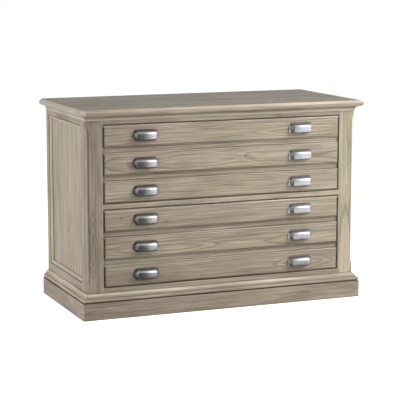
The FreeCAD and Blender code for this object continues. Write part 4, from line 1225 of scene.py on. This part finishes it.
def soft_lamp(name, place, target, size, power):
    """A square area lamp that looks at a point."""
    data = bpy.data.lights.new(name, "AREA")
    data.shape = "SQUARE"
    data.size = size
    data.energy = power
    lamp = bpy.data.objects.new(name, data)
    bpy.context.scene.collection.objects.link(lamp)
    lamp.location = place
    aim = Vector(target) - Vector(place)
    lamp.rotation_euler = aim.to_track_quat("-Z", "Y").to_euler()


soft_lamp("right front lamp", (2.3, -1.9, 2.2), (0.3, -0.2, 0.4), 2.0, 115.0)
soft_lamp("left lamp", (-3.2, -0.6, 1.6), (-0.4, 0.0, 0.4), 1.5, 41.0)

# %% [markdown]
# ## The floor
# The floor has to reach plain white where light falls on it, and still keep the object's soft
# shadow. More light would do the first and spoil the object's colours. Instead the floor
# glows a little by itself, for the eye and for reflections only.

# %% Floor
FLOOR_HALF = 30.0
FLOOR_DROP = 0.0004  # below the object's lowest point, so that the two never coincide
FLOOR_WHITE = (0.80, 0.80, 0.80, 1.0)
FLOOR_GLOW = 0.66
MATT = 0.9


def studio_mesh(name, points, faces, material):
    """A mesh of the studio with one material, linked to the scene."""
    mesh = bpy.data.meshes.new(name)
    mesh.from_pydata(points, [], faces)
    mesh.materials.append(material)
    made = bpy.data.objects.new(name, mesh)
    bpy.context.scene.collection.objects.link(made)
    return made


def build_floor():
    """A large white floor that keeps a faint contact shadow."""
    material, tree, shader = start_material("white floor")
    fill(tree, shader, {"Base Color": FLOOR_WHITE, "Roughness": MATT,
                        "Specular IOR Level": 0.0})
    strength = product(tree, direct_rays(tree, "Camera", "Glossy"), FLOOR_GLOW)
    glow = add(tree, "ShaderNodeEmission", {"Color": WHITE, "Strength": strength})
    both = add(tree, "ShaderNodeAddShader", {0: shader.outputs[0], 1: glow.outputs[0]})
    fill(tree, tree.nodes["Material Output"], {"Surface": both.outputs[0]})
    corners = [(x * FLOOR_HALF, y * FLOOR_HALF, 0.0)
               for x, y in ((-1, -1), (1, -1), (1, 1), (-1, 1))]
    floor = studio_mesh("floor", corners, [(0, 1, 2, 3)], material)
    floor.location.z = -FLOOR_DROP


build_floor()
print("floor laid, half width", FLOOR_HALF)

# %% [markdown]
# ## A dark card for the metal
# Bare metal shows whatever stands around it. In a plain white room it would look like white
# paint, so photographers stand dark cards round it. This one slopes up in front of the left
# half, turns the corner with a wing, and has a mat at its foot. It is found by reflections
# only: it throws no shadow and no view shows it.

# %% Dark card
CARD_BLACK = (0.03, 0.03, 0.03, 1.0)
CARD_POINTS = [
    (-0.10, -0.65, 0.002), (-0.75, -0.55, 0.002), (-1.05, -0.05, 0.002),
    (0.78, -2.40, 1.65), (-2.40, -2.40, 1.65), (-2.90, 0.10, 1.65),
    (0.62, -2.10, 2.90), (-2.40, -2.10, 2.90), (-2.90, 0.10, 2.90),
    (-0.75, -0.262, 0.002), (0.90, -0.262, 0.002), (0.90, -1.15, 0.002),
]
CARD_FACES = [(0, 1, 4, 3), (1, 2, 5, 4), (3, 4, 7, 6), (4, 5, 8, 7), (0, 11, 10, 9, 1)]


def build_card():
    """A dark card in front of the left half, with a wing round the corner and a mat."""
    material, tree, shader = start_material("dark card")
    fill(tree, shader, {"Base Color": CARD_BLACK, "Roughness": MATT})
    card = studio_mesh("dark card", CARD_POINTS, CARD_FACES, material)
    card.visible_camera = False
    card.visible_diffuse = False
    card.visible_shadow = False
    card.visible_transmission = False


build_card()
print("card faces:", len(CARD_FACES))

# %% [markdown]
# ## The camera
# The camera's place and lens could be found by eye. Here they were worked out from the edges
# of the object in the photo, which is surer: it stands well back with a long lens, a little
# above the top, and looks at the front left corner. A long lens keeps upright edges nearly
# parallel.

# %% Camera
CAMERA_PLACE = (-2.1584, -5.3150, 1.2894)
CAMERA_YAW = 22.077
CAMERA_DOWN = 9.079
CAMERA_LENS = 135.67
SENSOR_WIDTH = 36.0

camera_data = bpy.data.cameras.new("camera")
camera_data.lens = CAMERA_LENS
camera_data.sensor_width = SENSOR_WIDTH
camera = bpy.data.objects.new("camera", camera_data)
bpy.context.scene.collection.objects.link(camera)
camera.location = CAMERA_PLACE
camera.rotation_euler = (math.radians(90 - CAMERA_DOWN), 0.0, -math.radians(CAMERA_YAW))
bpy.context.scene.camera = camera
bpy.context.scene.view_settings.view_transform = "Standard"
print("camera at", CAMERA_PLACE)
